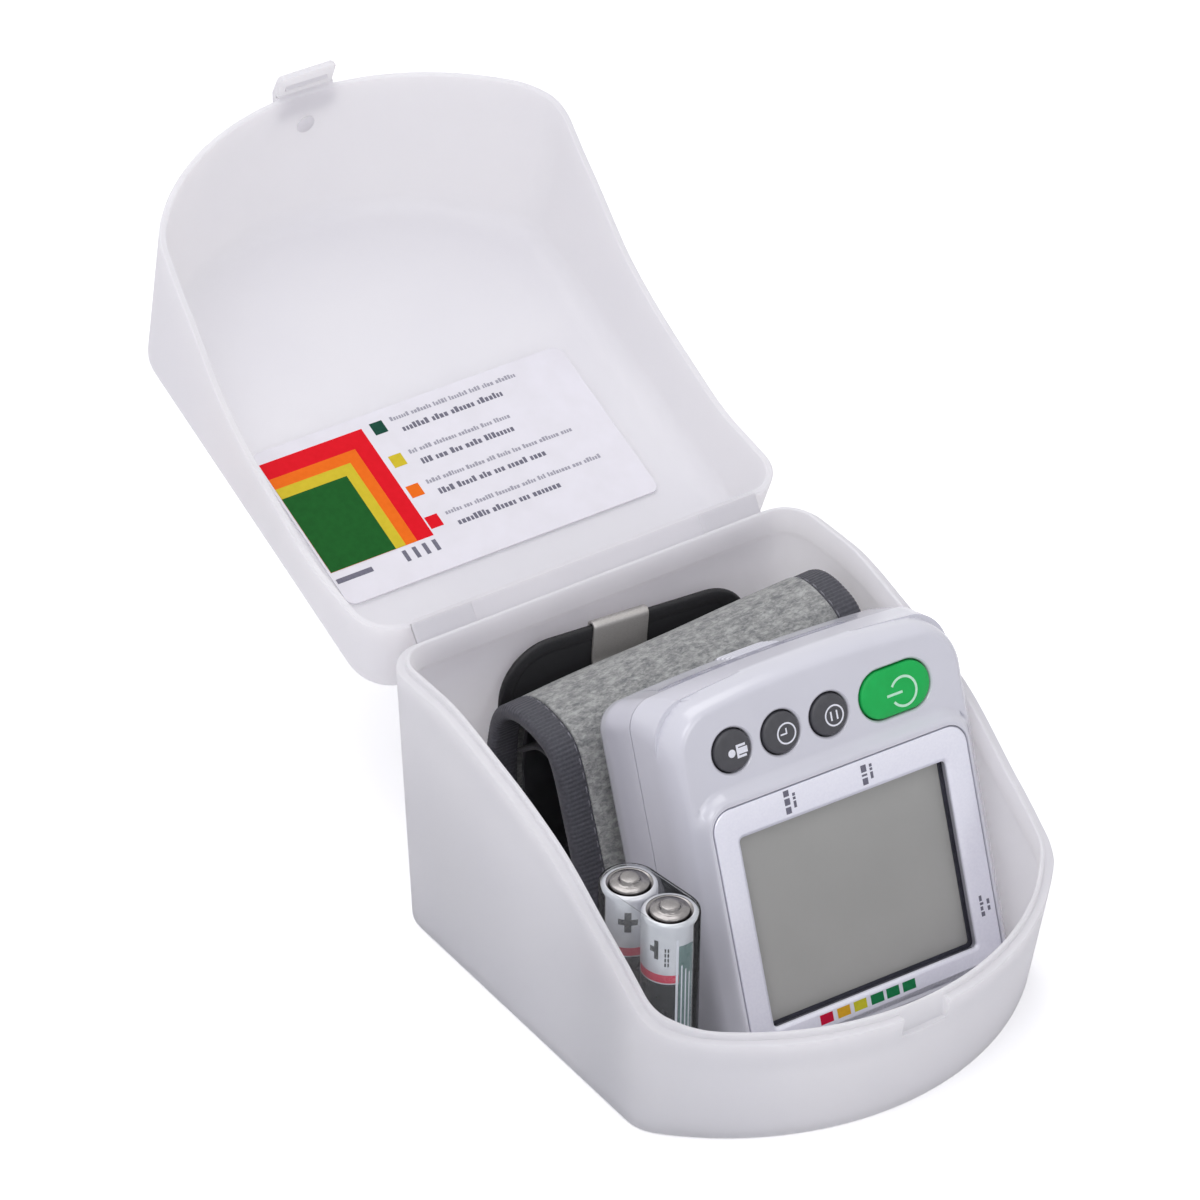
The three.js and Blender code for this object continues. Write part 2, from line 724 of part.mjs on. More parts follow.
function frontShell() {
  const outer = join(loft(frontLevels.map((level) => unitRing(level))), plateau());
  const inside = prism(unitOutline(unitHalfWidth, unitTop - cavityDrop, unitWall),
    -seamDepth - overrun, cavityTop);
  const underDisplay = prism(roundedRectangle(glassWidth + 2 * (gap + trayWall + gap),
    glassHeight + 2 * (gap + trayWall + gap), trayWall), cavityTop - overrun, -recessDepth - unitWall);
  const recess = prism(roundedRectangle(bezelWidth + 2 * gap, bezelHeight + 2 * gap, bezelRadius + gap,
    0, bezelRise), -recessDepth, overrun);
  const opening = prism(roundedRectangle(windowWidth + 2 * lensLap + 2 * gap,
    windowHeight + 2 * lensLap + 2 * gap, windowRadius + lensLap), -seamDepth, overrun);
  const keyHoles = Object.values(keyPlaces).map((x) =>
    prism(disc(keyRadius + keyClearance, x, keyRow), -seamDepth, overrun));
  const powerHole = prism(roundedRectangle(powerKeyLength + 2 * keyClearance,
    powerKeyWidth + 2 * keyClearance, roundEndShare * (powerKeyWidth / 2 + keyClearance),
    powerKeyPlace, keyRow, 8), -seamDepth, overrun);
  const bosses = screwPlaces.map(([x, y]) => prism(disc(bossRadius, x, y, 16), bossBottom, cavityTop + gap));
  const bores = screwPlaces.map(([x, y]) =>
    prism(disc(screwShankRadius + screwClearance, x, y, 12), bossBottom - overrun, cavityTop - gap));
  const hollow = cut(outer, cut(inside, belowFoot(unitWall)), underDisplay);
  return cut(join(hollow, ...bosses), ...bores, recess, opening, ...keyHoles, powerHole, belowFoot(0));
}

const bossBottom = -bossDepth;
const rearLevels = [
  [-seamDepth - gap, 0, rearFirstShare * rearLowering, unitRearRadius, unitRearBow],
  ...rearLevelShares.map(([depth, narrow, low, radius]) => [-depth * unitThickness, narrow * rearNarrowing,
    low * rearLowering, radius * unitRearRadius, unitRearBow]),
];
const rearInside = -unitThickness + unitWall;

// The part of the rear shell that is the battery cover, grown by a clearance on its sides
function coverRegion(grow) {
  return box(coverShift - coverHalfWidth - grow, coverShift + coverHalfWidth + grow,
    bayBottom + gap - grow, unitTop + overrun, -unitThickness - overrun, -coverLipDepth + grow);
}

function rearSkin() {
  const [first, ...others] = rearLevels.slice(0, -1);
  const last = [rearInside, ...rearLevels.at(-2).slice(1)];
  const insideLevels = [[first[0] + overrun, ...first.slice(1)], ...others.slice(0, -1), last];
  const outer = loft(rearLevels.map((level) => unitRing(level)));
  const inside = loft(insideLevels.map((level) => unitRing(level, unitWall)));
  return cut(outer, cut(inside, belowFoot(unitWall)), belowFoot(0));
}

function rearShell() {
  const deckTop = -bayDeckDepth;
  const partition = box(-bayHalfLength - bayWall, bayHalfLength + bayWall,
    bayBottom - bayWall, bayBottom, rearInside - gap, deckTop);
  const deck = box(-bayHalfLength - bayWall, bayHalfLength + bayWall, bayBottom - bayWall, bayTop,
    deckTop - bayDeckThickness, deckTop);
  const ends = [-1, 1].map((side) => {
    const near = side * bayHalfLength;
    const far = side * (bayHalfLength + bayWall);
    return box(Math.min(near, far), Math.max(near, far), bayBottom - bayWall, bayTop,
      rearInside - gap, deckTop);
  });
  const posts = screwPlaces.map(([x, y]) =>
    prism(disc(postRadius, x, y, 16), rearInside - gap, bossBottom - gap));
  const saddles = [pumpLeft + motorLength / 4, pumpLeft + 3 * motorLength / 4].map((x) =>
    cut(box(x - saddleThickness / 2, x + saddleThickness / 2, pumpPlace - motorRadius,
      pumpPlace + motorRadius, rearInside - gap, -pumpDepth - motorRadius / 2),
    rod(motorRadius + gap, x - saddleThickness, x + saddleThickness, pumpPlace, -pumpDepth)));
  const valveRest = cut(box(valveLeft + valveLength / 2 - saddleThickness / 2,
    valveLeft + valveLength / 2 + saddleThickness / 2, valvePlace - valveRadius, valvePlace + valveRadius,
    rearInside - gap, -valveDepth - valveRadius / 2),
  rod(valveRadius + gap, valveLeft, valveLeft + valveLength, valvePlace, -valveDepth));
  const headMiddle = headLeft + headLength / 2;
  const headRest = box(headMiddle - saddleThickness / 2, headMiddle + saddleThickness / 2,
    pumpPlace - headHeight / 2, pumpPlace + headHeight / 2, rearInside - gap,
    -pumpDepth - headDepth / 2 - gap);
  const whole = join(cut(rearSkin(), coverRegion(gap)), ...posts, ...saddles, valveRest, headRest,
    partition, deck, ...ends);
  const recesses = screwPlaces.map(([x, y]) => prism(disc(screwHeadRadius + screwClearance, x, y, 16),
    -unitThickness - overrun, -unitThickness + screwRecess + screwHeadHeight + gap));
  const bores = screwPlaces.map(([x, y]) => prism(disc(screwShankRadius + screwClearance, x, y, 12),
    -unitThickness - overrun, bossBottom + overrun));
  const nozzleHole = prism(disc(nozzleRadius + gap, 0, plateMiddle, 16), -unitThickness - overrun,
    rearInside + overrun);
  return cut(whole, ...recesses, ...bores, nozzleHole);
}

// The cover carries a few raised grip ribs on its lip
function batteryCover() {
  const skin = rearSkin().intersect(coverRegion(0));
  const ribs = Array.from({ length: coverGripCount }, (unused, i) => {
    const z = -coverLipDepth - 2 * gap - coverGripRib - i * coverGripPitch;
    return box(coverShift - coverGripWidth / 2, coverShift + coverGripWidth / 2, unitTop - unitCornerRadius,
      unitTop, z, z + coverGripRib);
  });
  const raised = cut(loft(rearLevels.map((level) => unitRing(level, 0, coverGripRise))),
    loft(rearLevels.map((level) => unitRing(level, unitWall / 2))));
  return join(skin, raised.intersect(join(...ribs)));
}

const headLeft = pumpLeft + motorLength + gap;

place(unit, 'front_shell', frontShell(), shellPlastic);
place(unit, 'rear_shell', rearShell(), shellPlastic);
place(unit, 'battery_cover', batteryCover(), shellPlastic);

// Display stack, from the outside in: bezel plate, lens, glass, tray

const lensTop = -recessDepth;
const glassTop = -recessDepth - unitWall - gap;
const trayTop = glassTop;
const trayBottom = glassTop - glassThickness - gap - trayFloor;
const boardTopFace = trayBottom - gap;
const boardBack = boardTopFace - boardThickness;
const stripPlace = gap + trayWall - glassHeight / 2;

place(unit, 'silver_bezel', cut(
  prism(roundedRectangle(bezelWidth, bezelHeight, bezelRadius, 0, bezelRise), -bezelThickness, 0),
  prism(roundedRectangle(windowWidth, windowHeight, windowRadius), -overrun, overrun),
), satinSilver);
place(unit, 'display_lens', prism(roundedRectangle(windowWidth + 2 * lensLap, windowHeight + 2 * lensLap,
  windowRadius + lensLap), lensTop - lensThickness, lensTop), clearPlastic);
place(unit, 'display_glass', prism(roundedRectangle(glassWidth, glassHeight, windowRadius),
  glassTop - glassThickness, glassTop), displayGrey);
place(unit, 'display_tray', cut(
  prism(roundedRectangle(glassWidth + 2 * (gap + trayWall), glassHeight + 2 * (gap + trayWall), windowRadius),
    trayBottom, trayTop),
  prism(roundedRectangle(glassWidth + 2 * gap, glassHeight + 2 * gap, windowRadius),
    trayBottom + trayFloor, overrun),
  box(-stripLength / 2 - gap, stripLength / 2 + gap, stripPlace - gap, stripPlace + stripWidth + gap,
    trayBottom - overrun, 0),
), blackPlastic);
place(unit, 'display_connector_strip', box(-stripLength / 2, stripLength / 2, stripPlace,
  stripPlace + stripWidth, boardTopFace + gap, glassTop - glassThickness - gap), darkRubber);

// Keys: each cap has a flange that holds it under the shell

const keyTop = -keyZoneDepth + keyStandsProud;
const flangeTop = cavityTop - gap;
const flangeBottom = flangeTop - keyFlangeThickness;

for (const [name, x] of Object.entries(keyPlaces)) {
  place(unit, name, join(
    prism(disc(keyRadius, x, keyRow), flangeBottom, keyTop),
    prism(disc(keyRadius + keyFlange, x, keyRow), flangeBottom, flangeTop),
  ), darkRubber);
}
place(unit, 'button_power', join(
  prism(roundedRectangle(powerKeyLength, powerKeyWidth, roundEndShare * powerKeyWidth / 2,
    powerKeyPlace, keyRow, 8), flangeBottom, keyTop),
  prism(roundedRectangle(powerKeyLength + 2 * keyFlange, powerKeyWidth + 2 * keyFlange,
    roundEndShare * (powerKeyWidth / 2 + keyFlange), powerKeyPlace, keyRow, 8), flangeBottom, flangeTop),
), greenPlastic);

const matTop = flangeBottom - keyTravel - gap;
const matLeft = userKeyPlace - keyRadius - matMargin;
const matRight = powerKeyPlace + powerKeyLength / 2 + matMargin;
place(unit, 'keypad_mat', prism(roundedRectangle(matRight - matLeft, powerKeyWidth + 2 * matMargin,
  plateRadius, (matLeft + matRight) / 2, keyRow), matTop - matThickness, matTop), darkRubber);
const domes = [...Object.values(keyPlaces), powerKeyPlace].map((x) =>
  prism(disc(domeRadius, x, keyRow, 16), boardTopFace + gap, Math.min(boardTopFace + gap + domeHeight,
    matTop - matThickness - gap)));
place(unit, 'key_domes', join(prism(roundedRectangle(matRight - matLeft, powerKeyWidth, plateRadius,
  (matLeft + matRight) / 2, keyRow), boardTopFace + gap, boardTopFace + gap + domeFilm), ...domes), steel);

// Board, with cut corners clear of the screw posts, and its components

const boardOutline = roundedRectangle(2 * boardHalfWidth, boardTop + boardBottom, boardRadius,
  0, (boardTop - boardBottom) / 2);
place(unit, 'main_board', prism(boardOutline, boardBack, boardTopFace), boardGreen);
const underBoard = boardBack - gap;
const [sensorX, sensorY] = sensorPlace;
const [buzzerX, buzzerY] = buzzerPlace;
place(unit, 'pressure_sensor', join(
  box(sensorX - sensorSize / 2, sensorX + sensorSize / 2, sensorY - sensorSize / 2, sensorY + sensorSize / 2,
    underBoard - sensorHeight, underBoard),
  prism(disc(sensorPortRadius, sensorX, sensorY, 12), underBoard - sensorHeight - sensorPortLength,
    underBoard - sensorHeight + gap),
), blackPlastic);
place(unit, 'buzzer', prism(disc(buzzerRadius, buzzerX, buzzerY, 24), underBoard - buzzerHeight,
  underBoard), blackPlastic);
place(unit, 'controller_chip', box(-controllerSize / 2, controllerSize / 2, -controllerSize, 0,
  underBoard - chipHeight, underBoard), blackPlastic);
place(unit, 'memory_chip', box(controllerSize, controllerSize + memoryChipLength, -controllerSize,
  memoryChipWidth - controllerSize, underBoard - chipHeight, underBoard), blackPlastic);
place(unit, 'crystal', box(-controllerSize, crystalLength - controllerSize, controllerSize / 2,
  controllerSize / 2 + crystalWidth, underBoard - chipHeight, underBoard), steel);

// Pump with its motor, release valve and the soft tube that joins them to the sensor and the nozzle

place(unit, 'pump_motor', join(
  rod(motorRadius, pumpLeft, pumpLeft + motorLength, pumpPlace, -pumpDepth),
  rod(motorHubRadius, pumpLeft - motorHubLength, pumpLeft + gap, pumpPlace, -pumpDepth),
), steel);
place(unit, 'pump_head', join(
  box(headLeft, headLeft + headLength, pumpPlace - headHeight / 2, pumpPlace + headHeight / 2,
    -pumpDepth - headDepth / 2, -pumpDepth + headDepth / 2),
  rod(portRadius, headLeft + headLength - gap, headLeft + headLength + portLength, pumpPlace, -pumpDepth, 12),
), blackPlastic);
place(unit, 'release_valve', join(
  rod(valveRadius, valveLeft, valveLeft + valveLength, valvePlace, -valveDepth),
  rod(portRadius, valveLeft + valveLength - gap, valveLeft + valveLength + portLength, valvePlace,
    -valveDepth, 12),
), blackPlastic);
const tubeStart = headLeft + headLength + portLength + gap;
const tubeEnd = valveLeft + valveLength + portLength + gap;
const tubePath = new THREE.CatmullRomCurve3([
  new THREE.Vector3(tubeStart, pumpPlace, -pumpDepth),
  new THREE.Vector3(tubeStart + tubeRadius, pumpPlace, -pumpDepth),
  new THREE.Vector3(tubeStart + tubeRise, (pumpPlace + valvePlace) / 2, -(pumpDepth + valveDepth) / 2),
  new THREE.Vector3(tubeEnd + tubeRadius, valvePlace, -valveDepth),
  new THREE.Vector3(tubeEnd, valvePlace, -valveDepth),
], false, 'centripetal');
const tubeSection = new THREE.Shape(disc(tubeRadius, 0, 0, 8));
place(unit, 'air_tube', toSolid(new THREE.ExtrudeGeometry(tubeSection, { steps: 24, extrudePath: tubePath })),
  silicone);
place(unit, 'air_nozzle', cut(
  prism(disc(nozzleRadius, 0, plateMiddle, 16), gap - strandDepth, rearInside + nozzleInside),
  prism(disc(nozzleBore, 0, plateMiddle, 12), -strandDepth, rearInside + nozzleInside + gap),
), silicone);

// Battery contacts: a spring and a plate for each of the two cells, crossed end for end

const bayRows = [bayBottom + gap + cellRadius, bayBottom + gap + cellRadius + cellPitch];
const contactDepth = -bayDeckDepth - bayDeckThickness - cellRadius;

function contactPlate(side, y) {
  const near = side * (bayHalfLength - gap);
  const far = near - side * contactThickness;
  return box(Math.min(near, far), Math.max(near, far), y - contactSize / 2, y + contactSize / 2,
    contactDepth - contactSize / 2, contactDepth + contactSize / 2);
}

function contactSpring(side, y) {
  const steps = springTurns * 8;
  const base = side * (bayHalfLength - gap - contactThickness / 2);
  const rings = Array.from({ length: steps + 1 }, (unused, i) => {
    const share = i / steps;
    const angle = share * springTurns * 2 * Math.PI;
    const radius = springRadius + (springTipRadius - springRadius) * share;
    const x = base - side * springLength * share;
    return Array.from({ length: 5 }, (none, k) => {
      const around = k / 5 * 2 * Math.PI;
      const reach = radius + springWire * Math.cos(around);
      return new THREE.Vector3(x - springWire * Math.sin(around), y + reach * Math.cos(angle),
        contactDepth + reach * Math.sin(angle));
    });
  });
  const fan = [[0, 1, 2], [0, 2, 3], [0, 3, 4]];
  return closedSolid(rings, fan, fan);
}

place(unit, 'battery_spring_left', join(contactPlate(-1, bayRows[0]), contactSpring(-1, bayRows[0])), steel);
place(unit, 'battery_spring_right', join(contactPlate(1, bayRows[1]), contactSpring(1, bayRows[1])), steel);
place(unit, 'battery_plate_left', contactPlate(-1, bayRows[1]), brass);
place(unit, 'battery_plate_right', contactPlate(1, bayRows[0]), brass);

const headSeat = -unitThickness + screwRecess;
screwPlaces.forEach(([x, y], i) => place(unit, `case_screw_${i + 1}`, join(
  prism(disc(screwHeadRadius, x, y, 16), headSeat, headSeat + screwHeadHeight),
  prism(disc(screwShankRadius, x, y, 8), headSeat + screwHeadHeight - gap, headSeat + screwLength),
), steel));

const plate = prism(roundedRectangle(plateWidth, plateHeight, plateRadius, 0, plateMiddle),
  -unitThickness - gap - plateThickness, -unitThickness - gap);
place(unit, 'cuff_plate', cut(plate, prism(disc(nozzleRadius + gap, 0, plateMiddle, 16),
  -unitThickness - 2 * plateThickness, -unitThickness + overrun)), blackPlastic);

// Cuff: a closed roll whose front strand lies on the leaning back of the monitor

const floorLevel = caseFloor + looseGap - unitZ;
const rollBackY = backY - rollBack - unitY;
const rollFrontY = rollBackY - rollDepth;

function leaning(y, depth) {
  return new THREE.Vector2(y * leanSine + depth * leanCosine, y * leanCosine - depth * leanSine);
}

const rollShares = [[0, 0.4], [0.01, 0.72], [0.08, 0.9], [0.22, 0.985], [0.42, 1], [0.6, 0.95]];
const strandShares = [1, 0.75, 0.5, 0.25, 0];
const soleShares = [0.15, 0.5, 0.85];

function rollContour() {
  const fromShares = ([depth, height]) =>
    new THREE.Vector2(rollBackY - depth * rollDepth, floorLevel + height * rollHeight);
  const strandTop = plateMiddle + plateHeight * strandReach;
  const strand = strandShares.map((share) =>
    leaning(strandLow + share * (strandTop - strandLow), strandDepth));
  const foot = arc(rollFrontY + rollFootRadius, floorLevel + rollFootRadius, rollFootRadius,
    Math.PI - unitLean * degrees, 1.5 * Math.PI, 4).slice(1);
  const heel = arc(rollBackY - rollFootRadius, floorLevel + rollFootRadius, rollFootRadius,
    -Math.PI / 2, 0, 3);
  const sole = soleShares.map((share) => foot.at(-1).clone().lerp(heel[0], share));
  const points = [...rollShares.map(fromShares), ...strand, ...foot, ...sole, ...heel];
  const curve = new THREE.CatmullRomCurve3(points.map((p) => new THREE.Vector3(0, p.x, p.y)), true,
    'centripetal');
  return curve.getSpacedPoints(56).slice(0, -1).map((p) => new THREE.Vector2(p.y, p.z));
}

const leftContour = rollContour();

// The roll is wound a little loosely, so that its top rises by some millimetres from left to right
const rightContour = leftContour.map((point) => {
  const share = (point.y - floorLevel) / rollHeight;
  return new THREE.Vector2(point.x, point.y + rollRise * Math.max(0, share - riseShare) / (1 - riseShare));
});

// A contour moved inwards by a depth
function movedIn(contour, depth) {
  const count = contour.length;
  return contour.map((point, i) => {
    const ahead = contour[(i + 1) % count];
    const behind = contour[(i + count - 1) % count];
    const direction = ahead.clone().sub(behind).normalize();
    return new THREE.Vector2(point.x - direction.y * depth, point.y + direction.x * depth);
  });
}

// The contour at a place along X, blended from those of the two ends
function rollAt(depth, x) {
  const share = (x - cuffLeft) / (cuffRight - cuffLeft);
  const right = movedIn(rightContour, depth);
  return movedIn(leftContour, depth).map((point, i) => point.lerp(right[i], share));
}

function rollLayer(outerDepth, thickness, x0, x1) {
  const loop = (depth, x) => rollAt(depth, x).map((point) => new THREE.Vector3(x, point.x, point.y));
  const outer = [loop(outerDepth, x0), loop(outerDepth, x1)];
  const inner = [loop(outerDepth + thickness, x1), loop(outerDepth + thickness, x0)];
  return closedSolid([...outer, ...inner, outer[0]], [], []);
}

const cuffLeft = cuffShift - cuffWidth / 2;
const cuffRight = cuffShift + cuffWidth / 2;
const feltLeft = cuffLeft + bindingWidth + gap;
const feltRight = cuffRight - bindingWidth - gap;
const stiffenerDepth = feltThickness + gap;
const bladderDepth = stiffenerDepth + stiffenerThickness + gap;
const liningDepth = bladderDepth + bladderThickness + gap;
const cuffThickness = liningDepth + liningThickness;

place(unitPlace, 'cuff_felt', rollLayer(0, feltThickness, feltLeft, feltRight), felt);
place(unitPlace, 'cuff_stiffener', rollLayer(stiffenerDepth, stiffenerThickness, feltLeft + bladderMargin / 2,
  feltRight - bladderMargin / 2), clearPlastic);
place(unitPlace, 'air_bladder', rollLayer(bladderDepth, bladderThickness, feltLeft + bladderMargin,
  feltRight - bladderMargin), silicone);
place(unitPlace, 'cuff_lining', rollLayer(liningDepth, liningThickness, feltLeft, feltRight), blackCloth);
place(unitPlace, 'cuff_binding_left', rollLayer(bindingStep, bindingThickness, cuffLeft,
  cuffLeft + bindingWidth), bindingTape);
place(unitPlace, 'cuff_binding_right', rollLayer(bindingStep, bindingThickness, cuffRight - bindingWidth,
  cuffRight), bindingTape);

// The loose inner end of the cuff lies inside the roll and arches over just under its top
function innerTail() {
  const top = floorLevel + tailTopShare * rollHeight;
  const room = rollAt(cuffThickness + gap, cuffLeft);
  const middle = rollBackY - rollDepth / 3;
  const start = leaning(strandLow, strandDepth + cuffThickness + gap);
  const path = [
    new THREE.Vector3(0, start.x + tailInset, floorLevel + cuffThickness),
    new THREE.Vector3(0, leaning(plateMiddle, strandDepth + cuffThickness + tailInset).x,
      leaning(plateMiddle, strandDepth).y),
    new THREE.Vector3(0, leaning(plateMiddle + plateHeight / 2, strandDepth + cuffThickness + tailInset).x,
      top - tailInset),
    new THREE.Vector3(0, middle, top),
    new THREE.Vector3(0, rollBackY - cuffThickness, top - tailInset),
  ];
  const curve = new THREE.CatmullRomCurve3(path, false, 'centripetal');
  const line = curve.getSpacedPoints(20).map((p) => new THREE.Vector2(p.y, p.z));
  const side = (shift) => line.map((point, i) => {
    const ahead = line[Math.min(i + 1, line.length - 1)];
    const behind = line[Math.max(i - 1, 0)];
    const direction = ahead.clone().sub(behind).normalize();
    return new THREE.Vector2(point.x - direction.y * shift, point.y + direction.x * shift);
  });
  const outline = [...side(-tailThickness / 2), ...side(tailThickness / 2).reverse()];
  const sheet = alongX(outline, cuffLeft + bladderMargin, feltRight);
  return sheet.intersect(alongX(room, cuffLeft, cuffRight));
}

place(unitPlace, 'cuff_inner_tail', innerTail(), blackCloth);

// Tongue behind the roll with its bent metal clip; it hangs with its right end lower

const tongueBack = rollBackY + gap + tongueThickness;

const tongueHang = new THREE.Group();
tongueHang.position.set(tongueShift, 0, (tongueTop + tongueBottom) / 2 + caseFloor - unitZ);
tongueHang.rotation.y = tongueTilt * degrees;
unitPlace.add(tongueHang);

place(tongueHang, 'cuff_tongue', alongY(roundedRectangle(tongueWidth, tongueTop - tongueBottom, tongueRadius,
  0, 0, 8), rollBackY + gap, tongueBack), blackCloth);
const clipTop = (tongueTop - tongueBottom) / 2 + gap + clipThickness;
const clipFront = rollBackY - clipThickness;
const clipBack = tongueBack + gap + clipThickness;
place(tongueHang, 'tongue_clip', cut(
  box(clipShift - clipWidth / 2, clipShift + clipWidth / 2, clipFront, clipBack,
    clipTop - clipHeight, clipTop),
  box(clipShift - clipWidth, clipShift + clipWidth, rollBackY, tongueBack + gap,
    clipTop - clipHeight - overrun, clipTop - clipThickness),
), nickel);

// Two cells side by side, each a can, a cap and a printed sleeve, in one clear film

const cellStand = caseFloor + gap;
cellPair.position.set(roomLeft + wrapHalfSpread - innerHalfFoot, cellFromFront - backY, cellStand);
cellPair.rotation.z = cellTurn * degrees;

for (const [name, side] of [['cell_near', -1], ['cell_far', 1]]) {
  const cell = new THREE.Group();
  cell.position.y = side * cellPitch / 2;
  cellPair.add(cell);
  place(cell, `${name}_can`, turned([[0, 0], [canCrimpRadius, 0], [canRadius, sleeveStart],
    [canRadius, canShoulder - sleeveStart], [canCrimpRadius, canShoulder], [capRadius + gap, canShoulder],
    [capRadius + gap, canShoulder - capThickness - gap], [0, canShoulder - capThickness - gap]]), steel);
  place(cell, `${name}_cap`, turned([[0, canShoulder - capThickness], [capRadius, canShoulder - capThickness],
    [capRadius, canShoulder], [nubSkirtRadius, canShoulder], [nubRadius, canShoulder + nubHeight / 2],
    [nubRadius, cellLength - nubHeight / 10], [nubRadius * nubTipShare, cellLength],
    [0, cellLength]]), steel);
  place(cell, `${name}_sleeve`, turned([[canRadius + sleeveThickness / 2, sleeveStart],
    [cellRadius, sleeveStart], [cellRadius, sleeveEnd - sleeveStart],
    [cellRadius - sleeveThickness / 4, sleeveEnd - sleeveStart],
    [canRadius + sleeveThickness / 2, sleeveEnd - sleeveStart],
    [canRadius + sleeveThickness / 2, sleeveStart]]), sleeveInk);
}

function wrapRing(radius, z) {
  return atHeight(roundedRectangle(2 * radius, 2 * radius + cellPitch, roundEndShare * radius, 0, 0, 10), z);
}

const wrapInner = wrapRadius - wrapThickness;
const wrapTop = canShoulder + wrapRise;
place(cellPair, 'cell_wrap', cut(
  loft([wrapRing(wrapRadius, 0), wrapRing(wrapRadius, wrapTop - wrapCollar),
    wrapRing(wrapRadius - wrapCollar, wrapTop)]),
  loft([wrapRing(wrapInner, -overrun), wrapRing(wrapInner, wrapTop - wrapCollar - wrapThickness),
    wrapRing(wrapInner - wrapCollar - wrapThickness, wrapTop + wrapThickness)]),
), clearPlastic);

export default object;
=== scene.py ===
# %% [markdown]
# # A wrist blood pressure monitor in its storage case
#
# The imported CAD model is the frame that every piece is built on. All lengths below are in millimetres
# and are turned into metres at the end.

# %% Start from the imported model
import math

import bpy
import numpy as np
from mathutils import Matrix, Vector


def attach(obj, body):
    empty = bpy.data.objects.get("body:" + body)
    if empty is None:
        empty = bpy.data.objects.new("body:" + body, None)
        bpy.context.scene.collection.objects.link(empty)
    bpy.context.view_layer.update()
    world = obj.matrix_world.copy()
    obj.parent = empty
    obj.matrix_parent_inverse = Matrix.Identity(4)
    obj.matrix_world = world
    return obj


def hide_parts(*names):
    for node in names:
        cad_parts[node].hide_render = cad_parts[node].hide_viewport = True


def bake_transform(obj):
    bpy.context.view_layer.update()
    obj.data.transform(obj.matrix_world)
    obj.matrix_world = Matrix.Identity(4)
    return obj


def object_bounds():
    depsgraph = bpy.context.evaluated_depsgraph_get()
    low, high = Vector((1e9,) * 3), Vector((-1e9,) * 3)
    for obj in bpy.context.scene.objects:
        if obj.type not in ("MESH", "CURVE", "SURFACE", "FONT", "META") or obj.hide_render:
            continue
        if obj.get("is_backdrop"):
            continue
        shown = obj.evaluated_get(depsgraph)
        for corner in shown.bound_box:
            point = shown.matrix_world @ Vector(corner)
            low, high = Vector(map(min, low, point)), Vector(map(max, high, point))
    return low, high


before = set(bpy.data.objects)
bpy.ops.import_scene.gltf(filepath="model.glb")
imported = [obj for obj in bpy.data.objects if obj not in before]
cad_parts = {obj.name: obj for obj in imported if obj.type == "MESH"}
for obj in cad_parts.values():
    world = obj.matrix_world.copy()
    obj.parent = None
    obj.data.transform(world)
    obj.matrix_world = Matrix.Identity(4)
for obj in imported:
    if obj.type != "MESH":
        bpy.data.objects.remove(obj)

box_at_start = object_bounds()

# %% [markdown]
# ## Small tools
#
# A moulded shell is a stack of outlines. Every outline has the same number of columns, so a whole
# surface is one array of rings by columns by three. The same few functions then serve the case, the
# lid, the monitor and the cuff.

# %% Outlines and rings
MM = 0.001  # a millimetre in metres
CREASE = 34  # degrees: where two faces meet more steeply, their edge is drawn sharp


def turn(axis, degrees):
    """Rotation matrix about one axis, with the usual right-hand sense."""
    c, s = math.cos(math.radians(degrees)), math.sin(math.radians(degrees))
    i, j = {"x": (1, 2), "y": (2, 0), "z": (0, 1)}[axis]
    matrix = np.eye(3)
    matrix[i, i] = matrix[j, j] = c
    matrix[i, j], matrix[j, i] = -s, s
    return matrix


def arc(cx, cy, radius, start, end, steps):
    """Points on a circle from a start to an end angle in degrees, both included."""
    angle = np.radians(np.linspace(start, end, steps + 1))
    return np.stack([cx + radius * np.cos(angle), cy + radius * np.sin(angle)], -1)


def rounded_rectangle(width, height, radius, cx=0.0, cy=0.0, steps=10):
    """Four quarter circles, joined by straight sides."""
    dx, dy = width / 2 - radius, height / 2 - radius
    corners = [(dx, dy, 0), (-dx, dy, 90), (-dx, -dy, 180), (dx, -dy, 270)]
    return np.concatenate([arc(cx + x, cy + y, radius, a, a + 90, steps) for x, y, a in corners])


def at_level(outline, level):
    """A flat outline lifted to one level."""
    return np.column_stack([outline, np.full(len(outline), level)])


def soft_step(value):
    """Goes from 0 to 1 with flat ends: three times the square less twice the cube."""
    t = np.clip(value, 0, 1)
    return t * t * (3 - 2 * t)


def soft_min(a, b, width):
    """The smaller of two heights, with the crease between them rounded over a width."""
    h = np.clip(0.5 + (b - a) / (2 * width), 0, 1)
    return a * h + b * (1 - h) - width * h * (1 - h)


# %% [markdown]
# Soft things, such as the roll of the cuff, follow a curve through a few measured points. A hand-drawn
# Bezier curve could do it, but the points are easier to correct when the curve passes through them.

